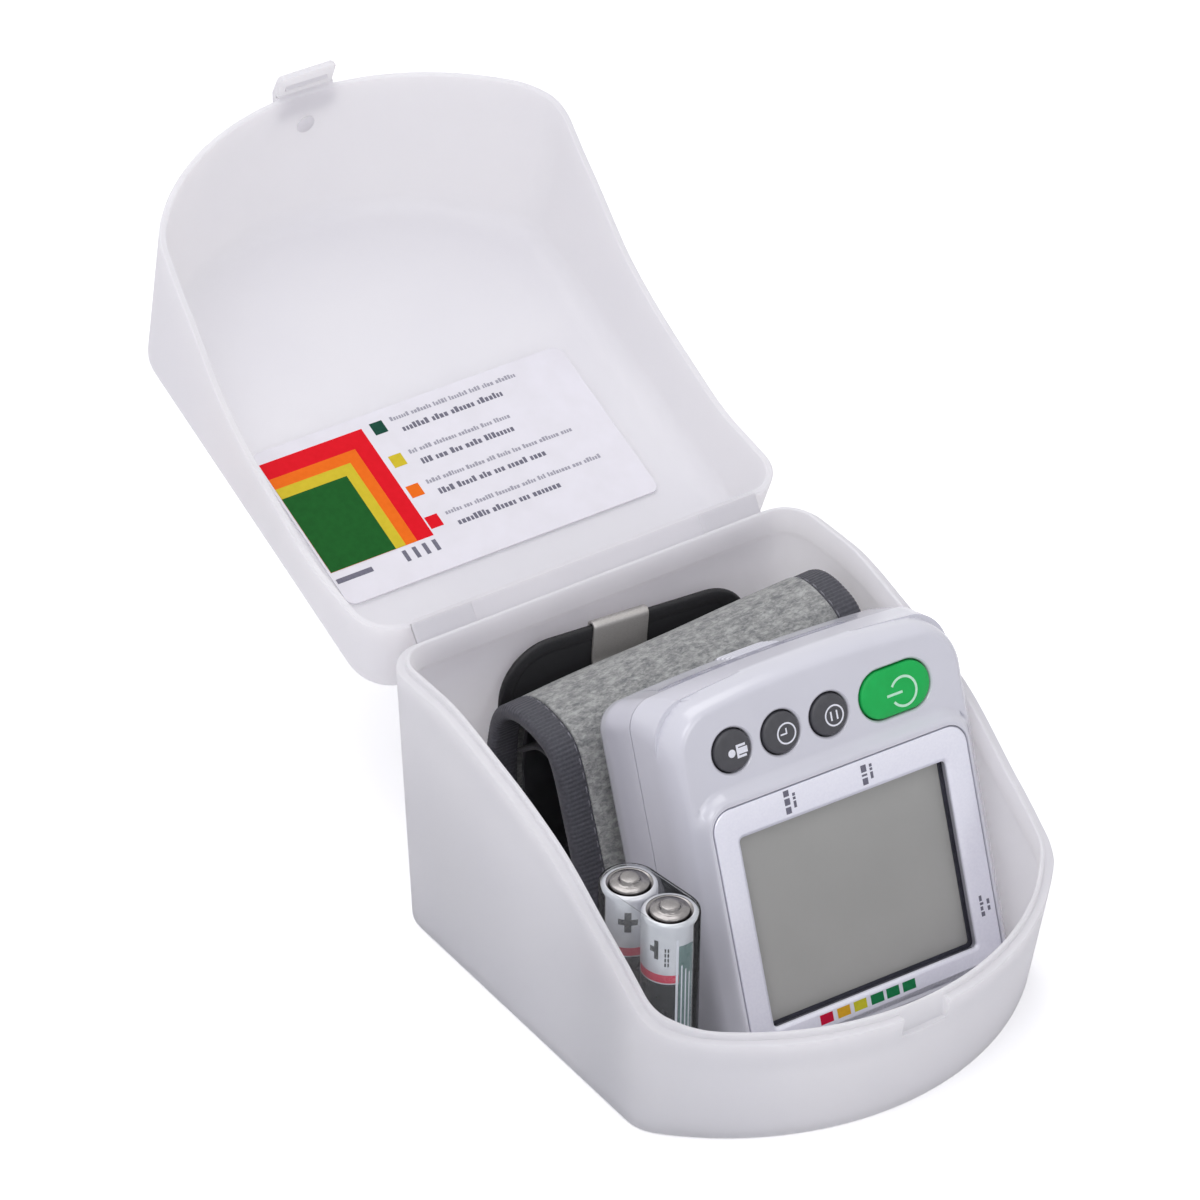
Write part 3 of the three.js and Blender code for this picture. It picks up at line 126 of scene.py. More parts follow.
# %% Smooth lines
def smooth_line(points, count, closed):
    """A curve through all points at even steps: every span is a cubic whose knots lie apart by the square
    root of the distance between its ends, so that it neither loops nor overshoots."""
    p = np.asarray(points, float)
    before, after = (p[-1:], p[:2]) if closed else ([2 * p[0] - p[1]], [2 * p[-1] - p[-2]])
    p = np.concatenate([before, p, after])
    t = np.sqrt(np.linalg.norm(np.diff(p, axis=0), axis=1))
    spans, steps_per_span = len(p) - 3, 48
    s = np.linspace(0, 1, steps_per_span, endpoint=False)[None, :, None]
    p0, p1, p2, p3 = (p[k : k + spans, None] for k in range(4))
    t01, t12, t23 = (t[k : k + spans, None, None] for k in range(3))
    m1 = p2 - p1 + t12 * ((p1 - p0) / t01 - (p2 - p0) / (t01 + t12))
    m2 = p2 - p1 + t12 * ((p3 - p2) / t23 - (p3 - p1) / (t12 + t23))
    a, b = 2 * (p1 - p2) + m1 + m2, -3 * (p1 - p2) - 2 * m1 - m2
    line = (a * s ** 3 + b * s ** 2 + m1 * s + p1).reshape(-1, p.shape[1])
    line = np.concatenate([line, line[:1] if closed else p[-2:-1]])
    length = np.concatenate([[0], np.cumsum(np.linalg.norm(np.diff(line, axis=0), axis=1))])
    at = np.linspace(0, length[-1], count, endpoint=not closed)
    return np.stack([np.interp(at, length, line[:, k]) for k in range(p.shape[1])], -1)


def inward(line, closed):
    """The direction at right angles to a line, to its left."""
    way = np.roll(line, -1, 0) - np.roll(line, 1, 0)
    if not closed:
        way[0], way[-1] = line[1] - line[0], line[-1] - line[-2]
    way /= np.linalg.norm(way, axis=1, keepdims=True)
    return np.stack([-way[:, 1], way[:, 0]], -1)


def section(x0, x1, d0, d1, edge, steps=1, bends=3):
    """A rounded rectangle in X and depth, with even steps along its two long sides."""
    outline = rounded_rectangle(x1 - x0, d1 - d0, edge, (x0 + x1) / 2, (d0 + d1) / 2, bends)
    n = bends + 1
    c = [outline[k * n : (k + 1) * n] for k in range(4)]
    fill = lambda a, b: a + (b - a) * (np.arange(1, steps) / steps)[:, None]
    return np.concatenate([c[0], fill(c[0][-1], c[1][0]), c[1], c[2], fill(c[2][-1], c[3][0]), c[3]])


# %% [markdown]
# Blender's own primitives would need many modifiers for such shells. A stack of rings is one array, so
# every wall thickness, draft and rounding is a line of arithmetic that can be read and changed.

# %% Meshes from rings
def loft(rings, ring_closed=True, stack_closed=False, caps=True):
    """Quads between neighbouring rings, and a fan of triangles over the first and the last ring."""
    rings = np.asarray(rings, float)
    rows, columns = rings.shape[:2]
    index = np.arange(rows * columns).reshape(rows, columns)
    near = index if stack_closed else index[:-1]
    far = np.roll(index, -1, 0) if stack_closed else index[1:]
    right = (lambda a: np.roll(a, -1, 1)) if ring_closed else (lambda a: a[:, 1:])
    left = (lambda a: a) if ring_closed else (lambda a: a[:, :-1])
    quads = np.stack([left(near), right(near), right(far), left(far)], -1).reshape(-1, 4)
    points, triangles = rings.reshape(-1, 3), np.empty((0, 3), int)
    if caps and ring_closed and not stack_closed:
        ends = [rings[0].mean(0), rings[-1].mean(0)]
        first, last = index[0], index[-1]
        fan = lambda ring, centre: np.stack([np.full(columns, centre), ring, np.roll(ring, -1)], -1)
        triangles = np.concatenate([fan(first[::-1], len(points)), fan(last, len(points) + 1)])
        points = np.concatenate([points, ends])
    return points, quads, triangles


def piece(name, body, material, shape, sharp=CREASE, replaces=()):
    """One object from points, quads and triangles. A closed shape whose signed volume is negative is
    turned, so that its faces look outwards."""
    points, quads, triangles = shape
    corners = np.concatenate([quads[:, [0, 1, 2]], quads[:, [0, 2, 3]], triangles]).astype(int)
    a, b, c = (points[corners[:, k]] for k in range(3))
    if np.einsum("ij,ij->i", a, np.cross(b, c)).sum() < 0:
        quads, triangles = quads[:, ::-1], triangles[:, ::-1]
    mesh = bpy.data.meshes.new(name)
    loops = np.concatenate([quads.ravel(), triangles.ravel()]).astype(np.int32)
    sizes = np.concatenate([np.full(len(quads), 4), np.full(len(triangles), 3)])
    starts = np.concatenate([[0], np.cumsum(sizes)[:-1]]).astype(np.int32)
    mesh.vertices.add(len(points))
    mesh.vertices.foreach_set("co", (np.asarray(points) * MM).ravel().astype(np.float32))
    mesh.loops.add(len(loops))
    mesh.loops.foreach_set("vertex_index", loops)
    mesh.polygons.add(len(sizes))
    mesh.polygons.foreach_set("loop_start", starts)
    mesh.update(calc_edges=True)
    mesh.validate()
    mesh.shade_smooth()
    mesh.set_sharp_from_angle(angle=math.radians(sharp))
    made = bpy.data.objects.new(name, mesh)
    bpy.context.scene.collection.objects.link(made)
    mesh.materials.append(material)
    if body:
        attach(made, body)
    if replaces:
        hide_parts(*replaces)
    return made


def merged(*shapes):
    """Several shapes as one, with their indices shifted."""
    points, quads, triangles, count = [], [], [], 0
    for p, q, t in shapes:
        points.append(p)
        quads.append(q + count)
        triangles.append(t + count)
        count += len(p)
    return np.concatenate(points), np.concatenate(quads), np.concatenate(triangles)


def moved(shape, place):
    """A shape with its points passed through a placing function."""
    return place(shape[0]), shape[1], shape[2]


def slab(outline_at, low, high, edge=0.2, steps=4):
    """A flat plate whose two rims are rounded. outline_at gives the outline for an inset."""
    angle = np.radians(np.linspace(0, 90, steps + 1))
    insets, drops = edge * (1 - np.cos(angle)), edge * (1 - np.sin(angle))
    lower = [at_level(outline_at(i), low + d) for i, d in zip(insets[::-1], drops[::-1])]
    upper = [at_level(outline_at(i), high - d) for i, d in zip(insets, drops)]
    return loft(lower + upper)


def lathe(profile, steps=64):
    """A profile of radius and height turned about the upright axis; its ends lie on the axis or are capped."""
    angle = np.linspace(0, 2 * np.pi, steps, endpoint=False)
    profile = np.asarray(profile, float)
    ring = np.stack([np.cos(angle), np.sin(angle)], -1)
    flat = profile[:, None, :1] * ring[None]
    return loft(np.concatenate([flat, np.broadcast_to(profile[:, None, 1:], flat.shape[:2] + (1,))], -1))


def swept(left, outline, closed=True, right=None, relief=None, x_range=(0.0, 1.0)):
    """An outline of X and depth swept along a path that changes from its left to its right form. A relief
    function of X and the length along the path pushes the surface in or out."""
    right = left if right is None else right
    nl, nr = inward(left, closed), inward(right, closed)
    s = ((outline[:, 0] - x_range[0]) / (x_range[1] - x_range[0]))[None, :, None]
    run = np.concatenate([[0], np.cumsum(np.linalg.norm(np.diff(left, axis=0), axis=1))])
    depth = np.broadcast_to(outline[None, :, 1], (len(left), len(outline)))
    if relief:
        depth = depth + relief(outline[None, :, 0], run[:, None], outline[None, :, 1])
    left_yz, right_yz = (line[:, None] + normal[:, None] * depth[..., None]
                         for line, normal in ((left, nl), (right, nr)))
    yz = left_yz * (1 - s) + right_yz * s
    return loft(np.concatenate([np.broadcast_to(outline[None, :, :1], yz.shape[:2] + (1,)), yz], -1),
                stack_closed=closed, caps=not closed)


def cut(target, cutter, operation="DIFFERENCE"):
    """Cuts one closed piece with another, keeps the result and throws the cutter away."""
    step = target.modifiers.new("cut", "BOOLEAN")
    step.operation, step.object, step.solver = operation, cutter, "EXACT"
    bpy.context.view_layer.update()
    result = bpy.data.meshes.new_from_object(target.evaluated_get(bpy.context.evaluated_depsgraph_get()))
    target.modifiers.clear()
    target.data = result
    result.shade_smooth()
    result.set_sharp_from_angle(angle=math.radians(CREASE))
    bpy.data.objects.remove(cutter)
    return target


# %% [markdown]
# ## Materials
#
# Colours are given as the hex values that a designer would read off a swatch and are turned into
# linear light by one function. One function adds a node with its settings and links. A finish could be
# a photographed texture, but a pattern worked out from noise has a size in millimetres and no seams.

# %% Node helpers
def linear(swatch):
    """sRGB hex to linear light: the low part is a straight line, the rest a power of 2.4."""
    values = np.array([int(swatch[i : i + 2], 16) for i in (1, 3, 5)]) / 255
    values = np.where(values <= 0.04045, values / 12.92, ((values + 0.055) / 1.055) ** 2.4)
    return (*values.tolist(), 1.0)


def add_node(material, kind, values=None, links=None, **settings):
    """Adds one node, sets its properties and socket values, and joins the given outputs to its sockets."""
    made = material.node_tree.nodes.new(kind)
    for key, value in settings.items():
        setattr(made, key, value)
    for socket, value in (values or {}).items():
        made.inputs[socket].default_value = value
    for socket, output in (links or {}).items():
        material.node_tree.links.new(output, made.inputs[socket])
    return made


def new_material(name):
    """An empty material with its output node."""
    made = bpy.data.materials.new(name)
    made.use_nodes = True
    made.node_tree.nodes.clear()
    return made, add_node(made, "ShaderNodeOutputMaterial")


def two_tones(material, factor, first, second):
    """Blends two swatches: the first where the factor is under 0.35, the second where it is over 0.65. A
    Map Range has its value, the range it comes from and the range it goes to on sockets 0, 1-2 and 3-4."""
    span = add_node(material, "ShaderNodeMapRange", {1: 0.35, 2: 0.65}, {0: factor})
    mix = add_node(material, "ShaderNodeMix", {6: linear(first), 7: linear(second)}, {0: span.outputs[0]},
                   data_type="RGBA")
    return mix.outputs[2]


def surface(name, swatch, roughness, second, grain=2.0, bump=0.0, bump_size=0.4, stretch=(1, 1, 1),
            **extra):
    """A solid finish. Its colour drifts between two swatches over a grain in millimetres, its roughness
    drifts a little with it, and a fine bump of a size in millimetres breaks up its highlight."""
    made, output = new_material(name)
    place = add_node(made, "ShaderNodeTexCoord").outputs["Object"]
    scaled = add_node(made, "ShaderNodeMapping", {"Scale": stretch}, {"Vector": place}).outputs[0]
    drift = add_node(made, "ShaderNodeTexNoise", {"Scale": 1 / (grain * MM), "Detail": 3.0},
                     {"Vector": scaled}).outputs[0]
    values = {"Base Color": linear(swatch), "Metallic": extra.get("metallic", 0.0),
              "IOR": 1.5, "Specular IOR Level": extra.get("specular", 0.5),
              "Coat Weight": extra.get("coat", 0.0), "Coat Roughness": 0.15,
              "Subsurface Weight": extra.get("subsurface", 0.0), "Subsurface Scale": 4 * MM,
              "Subsurface Radius": (1.0, 0.85, 0.9),
              "Sheen Weight": extra.get("sheen", 0.0), "Sheen Roughness": 0.5}
    shader = add_node(made, "ShaderNodeBsdfPrincipled", values)
    made.node_tree.links.new(two_tones(made, drift, swatch, second), shader.inputs["Base Color"])
    rough = add_node(made, "ShaderNodeMapRange", {3: roughness * 0.9, 4: min(1.0, roughness * 1.1)}, {0: drift})
    made.node_tree.links.new(rough.outputs[0], shader.inputs["Roughness"])
    if bump:
        fine = add_node(made, "ShaderNodeTexNoise", {"Scale": 1 / (bump_size * MM), "Detail": 2.0},
                        {"Vector": scaled}).outputs[0]
        relief = add_node(made, "ShaderNodeBump", {"Strength": 1.0, "Distance": bump * MM},
                          {"Height": fine})
        made.node_tree.links.new(relief.outputs[0], shader.inputs["Normal"])
    face = shader
    if "through" in extra:
        glow = add_node(made, "ShaderNodeBsdfTranslucent", {"Color": linear("#f7f5f5")})
        face = add_node(made, "ShaderNodeMixShader", {0: extra["through"]},
                        {1: shader.outputs[0], 2: glow.outputs[0]})
    made.node_tree.links.new(face.outputs[0], output.inputs["Surface"])
    return made


def clear_film(name, tint, roughness, haze, index):
    """Thin clear plastic: what lies behind shows through, with a mirror part that grows towards grazing
    view by the index, and a little white haze."""
    made, output = new_material(name)
    place = add_node(made, "ShaderNodeTexCoord").outputs["Object"]
    smear = add_node(made, "ShaderNodeTexNoise", {"Scale": 90.0, "Detail": 2.0}, {"Vector": place}).outputs[0]
    rough = add_node(made, "ShaderNodeMapRange", {3: roughness, 4: roughness * 2}, {0: smear}).outputs[0]
    through = add_node(made, "ShaderNodeBsdfTransparent", {"Color": linear(tint)})
    mirror = add_node(made, "ShaderNodeBsdfGlossy", {}, {"Roughness": rough})
    milk = add_node(made, "ShaderNodeBsdfDiffuse", {"Color": linear("#f2f3f6")})
    veil = add_node(made, "ShaderNodeMixShader", {0: haze}, {1: through.outputs[0], 2: milk.outputs[0]})
    edge = add_node(made, "ShaderNodeFresnel", {"IOR": index})
    mix = add_node(made, "ShaderNodeMixShader", {},
                   {0: edge.outputs[0], 1: veil.outputs[0], 2: mirror.outputs[0]})
    made.node_tree.links.new(mix.outputs[0], output.inputs["Surface"])
    return made


# %% [markdown]
# ### Plastics
#
# The case is injection-moulded polypropylene, a little see-through: light soaks into the wall and comes
# out softly, so its shadows stay pale and slightly pink. The monitor is moulded ABS with a pearl tint,
# smoother and harder looking. Keys are silicone rubber, the power key is dyed a clear green. Subsurface
# light could soften the case too, but on a wall this thin a translucent share renders cleaner.
#
# The numbers of a surface are its roughness, and then in millimetres the size of its colour drift, the
# height of its bump and the size of the bump.

# %% Plastics, paints and inks
# Milky and satin: shadows stay pale, the highlight is broad.
case_plastic = surface("moulded_polypropylene", "#edeef3", 0.34, "#eaebf1", 25, 0.004, 0.9, through=0.58)
# Even and a little glossy, with a thin clear skin over its pearl grey.
shell_plastic = surface("pearl_abs", "#d0d0d9", 0.22, "#cdcdd6", 18, 0.001, 0.6, coat=0.5)
# Painted shade: the same plastic coloured darker where a low relief lies in its own shade, so that it still reads
# in the render.
relief_painted_shade = surface("arrow_relief_painted_shade", "#a9a8b4", 0.3, "#a4a3af", 6, 0.001, 0.6, coat=0.3)
# Fine flakes in lacquer: half a mirror, with a speckle that is just visible.
silver_paint = surface("satin_silver_paint", "#e6e6f0", 0.34, "#e2e2ed", 0.5, 0.002, 0.12, metallic=0.45)
# A flat, faintly warm grey, as an unlit reflective display looks.
display_film = surface("liquid_crystal_glass", "#b0b0aa", 0.36, "#b3b3ad", 14, specular=0.3)
# Screen-printed black beside the display, partly painted shade: it also stands for the shade in the well.
black_frame_and_well_shade = surface("black_frame_and_painted_shade", "#383843", 0.6, "#30303a", 3)
# Silicone has a soft sheen and no sharp highlight. The power key is the same rubber, dyed.
key_rubber = surface("grey_silicone_rubber", "#434348", 0.42, "#3e3e43", 1.5, 0.004, 0.25)
green_key = surface("green_dyed_rubber", "#16a94f", 0.36, "#18b054", 3, 0.003, 0.3, specular=0.25)
# Inner parts: plain black mouldings, a lacquered board, a milky tube and a frosted strip.
black_plastic = surface("black_abs", "#232428", 0.45, "#1e1f23", 3, 0.003, 0.3)
circuit_board = surface("green_solder_mask", "#1f6a45", 0.40, "#1a5d3c", 0.8, 0.004, 0.3)
soft_tube = surface("translucent_silicone", "#d8d4cc", 0.45, "#d0ccc4", 2, 0.003, 0.4, subsurface=0.3)
clear_stiffener = surface("frosted_polyester_strip", "#dfe2e4", 0.4, "#d8dcde", 4, subsurface=0.3)
# Screen inks on the rubber: opaque, matt and slightly uneven.
white_ink = surface("white_screen_ink", "#e6e7ef", 0.5, "#dfe0e8", 0.6)
mint_ink = surface("mint_screen_ink", "#bfe9cf", 0.45, "#b6e3c8", 0.6)
# Clear plastics show themselves by their reflections alone. The film is a little rougher and hazy.
clear_window = clear_film("clear_acrylic_window", "#fdfdfe", 0.03, 0.0, 1.12)
shrink_film = clear_film("clear_shrink_film", "#fcfdfd", 0.06, 0.02, 1.16)
print(f"{len(bpy.data.materials)} materials with the plastics")

# %% [markdown]
# ### Card and its inks
#
# The chart is offset printed on a glossy sticker, the display's scale is screen printed. Each ink could
# be painted into one picture, but as a flat patch of its own it stays sharp from any distance.

# %% Card and inks
# Coated paper: a faint fibre, a weak and broad shine.
card_paper = surface("glossy_sticker_paper", "#dddbe1", 0.42, "#e1dfe6", 6, 0.002, 0.3, specular=0.3)
# Ink dries nearly matt and hides the paper's shine, so its colour stays full under a white lamp.
ink = {tone: surface(name, swatch, roughness, second, grain, specular=0.08)
       for tone, name, swatch, second, roughness, grain in [
           ("red", "red_offset_ink", "#dc1022", "#d80e1f", 0.42, 1.2),
           ("orange", "orange_offset_ink", "#ea6d18", "#e66915", 0.42, 1.2),
           ("yellow", "yellow_offset_ink", "#cfba30", "#cab52c", 0.42, 1.2),
           ("green", "green_offset_ink", "#175a22", "#14541f", 0.42, 1.2),
           ("dark_green", "dark_green_offset_ink", "#17493a", "#134235", 0.42, 1.2),
           ("pale_grey", "pale_grey_offset_ink", "#9c9ba6", "#a5a4ae", 0.5, 0.5),
           ("grey", "dark_grey_offset_ink", "#6c6b78", "#757482", 0.5, 0.5),
           ("crimson", "crimson_screen_ink", "#c3163c", "#bb1338", 0.45, 0.6),
           ("amber", "amber_screen_ink", "#d6a42c", "#cf9d28", 0.45, 0.6),
           ("lime", "lime_screen_ink", "#c6c031", "#bfb92d", 0.45, 0.6),
           ("traffic_green", "green_screen_ink", "#1d7849", "#1a7144", 0.45, 0.6)]}
print(f"{len(ink)} inks")

# %% [markdown]
# ### Metals
#
# The cell cans are nickel-plated steel with a soft mirror, the clip is brushed nickel. Metals keep the
# shader's own index; only colour and roughness make the difference.

# %% Metals
# A soft mirror with a faint cloudiness from the plating.
steel = surface("nickel_plated_steel", "#8f8c8c", 0.24, "#858282", 1.0, 0.002, 0.15, metallic=1.0)
# Warm and a little duller, on the contacts.
contact_brass = surface("plated_brass", "#c9a55a", 0.3, "#bf9b51", 1.0, metallic=1.0)
# The brush leaves marks across the clip, so the noise is squeezed twelve times in height.
nickel = surface("brushed_nickel", "#c3c0be", 0.42, "#b4b1ae", 0.6, 0.004, 0.12, (1, 1, 12), metallic=0.6)
# Printed foil: silver shows the metal, the colours lie over it as a clear coated lacquer.
sleeve_foil = surface("printed_foil_silver", "#cdced3", 0.30, "#c5c6cc", 2.0, 0.003, 0.5, metallic=0.35)
sleeve_black = surface("printed_foil_black", "#1e2024", 0.28, "#232529", 2.0, 0.003, 0.5, coat=0.3)
sleeve_red = surface("printed_foil_red", "#c8324f", 0.28, "#bf2c49", 2.0, coat=0.3)
sleeve_teal = surface("printed_foil_teal", "#5f7d7b", 0.28, "#557270", 2.0, coat=0.3)
print(f"{len(bpy.data.materials)} materials with the metals")

# %% [markdown]
# ### Cloths
#
# The cuff's outside is a knitted loop felt of light and dark grey fibres: two noises, one stretched
# along the fibre, mix the greys, and a strong fine bump with some sheen gives the fuzz. Single hairs
# would look closer, but they are lost at this distance. The edge is bound with a ribbed tape, the inside
# and the tongue are black nylon.


# %% Cloths
def felt_material(name):
    """Light, middle and dark fibres mixed by stretched noise, with fuzz."""
    made, output = new_material(name)
    place = add_node(made, "ShaderNodeTexCoord").outputs["Object"]
    long_way = add_node(made, "ShaderNodeMapping", {"Scale": (0.6, 1, 1)}, {"Vector": place}).outputs[0]
    fibre = add_node(made, "ShaderNodeTexNoise", {"Scale": 1900.0, "Detail": 3.0, "Distortion": 0.8},
                     {"Vector": long_way}).outputs[0]  # loops of about half a millimetre
    patch = add_node(made, "ShaderNodeTexNoise", {"Scale": 700.0, "Detail": 3.0},
                     {"Vector": long_way}).outputs[0]  # tufts of about 1.4 mm
    both = add_node(made, "ShaderNodeMath", {}, {0: fibre, 1: patch}, operation="ADD").outputs[0]
    mean = add_node(made, "ShaderNodeMath", {1: 0.5}, {0: both}, operation="MULTIPLY").outputs[0]
    ramp = add_node(made, "ShaderNodeValToRGB", {}, {0: mean})
    dark, light = ramp.color_ramp.elements
    dark.position, dark.color = 0.36, linear("#6b6d6f")
    light.position, light.color = 0.64, linear("#abacab")
    ramp.color_ramp.elements.new(0.5).color = linear("#8d8e8d")
    relief = add_node(made, "ShaderNodeBump", {"Strength": 1.0, "Distance": 0.25 * MM}, {"Height": fibre})
    shader = add_node(made, "ShaderNodeBsdfPrincipled",
                      {"Roughness": 0.95, "Sheen Weight": 0.15, "Sheen Roughness": 0.6},
                      {"Base Color": ramp.outputs[0], "Normal": relief.outputs[0]})
    made.node_tree.links.new(shader.outputs[0], output.inputs["Surface"])
    return made


cuff_felt = felt_material("grey_loop_felt")
# Woven tapes and cloths are matt and dark, with a thread of a quarter millimetre and a little sheen.
binding_tape = surface("ribbed_binding_tape", "#47474e", 0.8, "#3e3e45", 0.5, 0.03, 0.25, sheen=0.1)
black_cloth = surface("black_nylon_cloth", "#151519", 0.72, "#1b1b20", 0.5, 0.03, 0.25, sheen=0.08)
black_edge = surface("black_binding_tape", "#1c1b20", 0.6, "#151519", 0.5, 0.02, 0.3, sheen=0.1)
# Twisted thread is lighter than the tape, which makes the seam show.
stitch_thread = surface("grey_polyester_thread", "#77777f", 0.6, "#6b6b73", 0.4)

by_slot = {
    "case_plastic": case_plastic, "printed_card": card_paper, "shell_plastic": shell_plastic,
    "silver_paint": silver_paint, "clear_window": clear_window, "display_film": display_film,
    "key_rubber": key_rubber, "green_key": green_key, "circuit_board": circuit_board,
    "black_plastic": black_plastic, "steel": steel, "contact_brass": contact_brass, "soft_tube": soft_tube,
    "cuff_felt": cuff_felt, "clear_stiffener": clear_stiffener, "binding_tape": binding_tape,
    "black_cloth": black_cloth, "nickel": nickel, "cell_sleeve": sleeve_foil, "shrink_film": shrink_film,
}
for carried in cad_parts.values():
    for place, old in enumerate(carried.data.materials):
        carried.data.materials[place] = by_slot[old.name.split(".")[0]]
print(f"{len(bpy.data.materials)} materials are ready")

# %% [markdown]
# ## The case
#
# One plan serves the base and the lid: a straight back with round corners, straight sides and a bowed
# front. The walls lean, so the plan's width and its front edge depend on the height. The rim keeps the
# back height for a while and then falls to the front along an S. A thin tongue stands inside the rim
# and catches the lid. The real case is moulded in one go with its lid, joined by the thin hinge. A
# subdivided box would need its corners pinned by hand; a plan with a draft gives them as they are cast.

# %% The plan and the rim
case_half, back_y, base_back_height, base_front_height = 48.665, 54.545, 61.2, 27.1
side_draft, back_draft, front_draft = 2.51, 0.86, 5.15
case_back_radius, case_front_radius, case_bow = 8.7, 9.0, 60.2
case_wall, case_floor, floor_round, foot_round, rim_round = 1.4, 1.5, 0.8, 1.2, 0.3
tongue_inset, tongue_thick, tongue_high, rim_band = 1.85, 0.85, 1.5, 4.0
rim_shares = np.array([1, 1, 0.881, 0.681, 0.312, 0])  # what the rim keeps of its rise, at even steps
rim_reach = 93.6  # the way from the back to where the rim has come down

counts = [14, 14, 60, 16, 34]  # columns on the back, its corner, the side, the front corner, the front
kind = np.repeat(np.arange(5), counts)
share = np.concatenate([np.arange(n) / n for n in counts])
kind, share = np.append(kind, 4), np.append(share, 1.0)


def case_plan(half, back, front, inset):
    """The right half of a plan: from the middle of the back along a line, round a quarter circle, along the
    side, round the front corner's arc until it meets the bow, and along the bow's arc to its middle."""
    w, yb, yf = half - inset, back - inset, front + inset
    rb, rf, bow = case_back_radius - inset, case_front_radius - inset, case_bow - inset
    bow_y = yf + bow
    corner_y = bow_y - np.sqrt((bow - rf) ** 2 - (w - rf) ** 2)
    tilt = np.arctan2(w - rf, bow_y - corner_y)
    a = np.pi / 2 * (1 - share)
    b = (-np.pi / 2 + tilt) * share
    c = -np.pi / 2 + tilt * (1 - share)
    cases = [kind == k for k in range(5)]
    zero = np.zeros_like(share)
    x = np.select(cases, [(w - rb) * share, w - rb + rb * np.cos(a), w + zero, w - rf + rf * np.cos(b),
                          bow * np.cos(c)])
    y = np.select(cases, [yb + zero, yb - rb + rb * np.sin(a), (yb - rb) * (1 - share) + corner_y * share,
                          corner_y + rf * np.sin(b), bow_y + bow * np.sin(c)])
    return x, y


def mirrored(x, y, z):
    """The half ring with its mirror image, as one closed ring of points."""
    half = np.stack([x, y, np.broadcast_to(z, x.shape)], -1)
    return np.concatenate([half, half[-2:0:-1] * [-1, 1, 1]])


def rim_height(y):
    """The rim: cubic pieces through heights at equal steps, with slopes that never overshoot."""
    rise = np.diff(rim_shares, prepend=1, append=0)
    product, total = rise[1:] * rise[:-1], rise[1:] + rise[:-1]
    slope = np.where(product > 0, 2 * product / np.where(total == 0, 1, total), 0)
    spans = len(rim_shares) - 1
    place = np.clip((back_y - y) / rim_reach, 0, 1) * spans
    i = np.minimum(np.floor(place).astype(int), spans - 1)
    t = place - i
    value = (rim_shares[i] * (1 + 2 * t) * (1 - t) ** 2 + rim_shares[i + 1] * t * t * (3 - 2 * t)
             + slope[i] * t * (1 - t) ** 2 + slope[i + 1] * t * t * (t - 1))
    return base_front_height + (base_back_height - base_front_height) * value


def base_plan(z, inset):
    """The base's plan at a height, which may differ from column to column."""
    low = 1 - z / base_back_height
    front = -back_y + front_draft * np.maximum(0, 1 - z / base_front_height)
    return case_plan(case_half - side_draft * low, back_y - back_draft * low, front, inset)


def base_ring(inset, z=None, drop=None, up=None):
    """A ring of the base at a height, at a drop below the rim, or at a share of the way up to a drop."""
    if z is None:
        height = np.full_like(share, base_front_height)
        for _ in range(3):
            height = rim_height(base_plan(height, inset)[1]) - drop
        z = height if up is None else up[0] + (height - up[0]) * up[1]
    x, y = base_plan(z + np.zeros_like(share), inset)
    return mirrored(x, y, z)


print(f"the rim stands {rim_height(back_y):.1f} mm high at the back and {rim_height(-back_y):.1f} at the front")

# %% [markdown]
# The base is one closed wall: the rings go up the outside, over the ledge and the tongue, and down the
# inside to the floor. One skin thickened by Solidify would be quicker, but it would have no ledge. Only
# the notch for the latch is cut with a Boolean, because it breaks the rings.

# %% The base
angle = np.radians(np.linspace(0, 90, 6))
ledge, half_thick = tongue_high, tongue_thick / 2
inner_face, band_low = tongue_inset + tongue_thick, tongue_high + rim_band
inner_low, inner_high = case_floor + floor_round, band_low + 1.7
foot = [base_ring(foot_round * (1 - np.sin(a)), z=foot_round * (1 - np.cos(a))) for a in angle]
outer = [base_ring(0, drop=ledge + rim_round, up=(foot_round, s)) for s in np.linspace(0.1, 1, 12)]
lip = [base_ring(rim_round * (1 - np.cos(a)), drop=ledge + rim_round * (1 - np.sin(a))) for a in angle[1:]]
tongue_out = [base_ring(tongue_inset - 0.15, drop=ledge), base_ring(tongue_inset, drop=ledge - 0.15),
              base_ring(tongue_inset, drop=rim_round)]
tongue_top = [base_ring(tongue_inset + half_thick - half_thick * np.cos(a), drop=rim_round * (1 - np.sin(a)))
              for a in np.radians(np.linspace(30, 150, 5))]
tongue_in = [base_ring(inset, drop=drop) for inset, drop in [
    (inner_face, rim_round), (inner_face, band_low - 0.3), (inner_face - 0.2, band_low + 0.1),
    (case_wall + 0.15, band_low + 1.3), (case_wall, inner_high)]]
inner = [base_ring(case_wall, drop=inner_high, up=(inner_low, s)) for s in np.linspace(0.92, 0, 12)]
fillet = [base_ring(case_wall + floor_round * (1 - np.cos(a)), z=inner_low - floor_round * np.sin(a))
          for a in angle[1:]]
base = piece("case_base_shell", "case", case_plastic,
             loft(foot + outer + lip + tongue_out + tongue_top + tongue_in + inner + fillet),
             replaces=("case_base",))
notch_top, notch_half, notch_deep = base_front_height - tongue_high, 5.2, 4.6
notch_shape = slab(lambda inset: rounded_rectangle(2 * notch_half - 2 * inset, notch_deep - 2 * inset, 0.5, 0,
                                                   -back_y), notch_top - 4.5, notch_top + 4, 0.1)
cut(base, piece("notch_cutter", None, case_plastic, notch_shape))
print("case base", len(base.data.polygons), "faces")

# %% [markdown]
# The lid is drawn closed, on the rim of the base, and then swung open about the hinge line to the angle
# at which it lies in the photograph. Drawn open it could look the same, but closed it is sure to fit.
# Its wall runs from the rim to a soft shoulder, its top slopes down to the front.

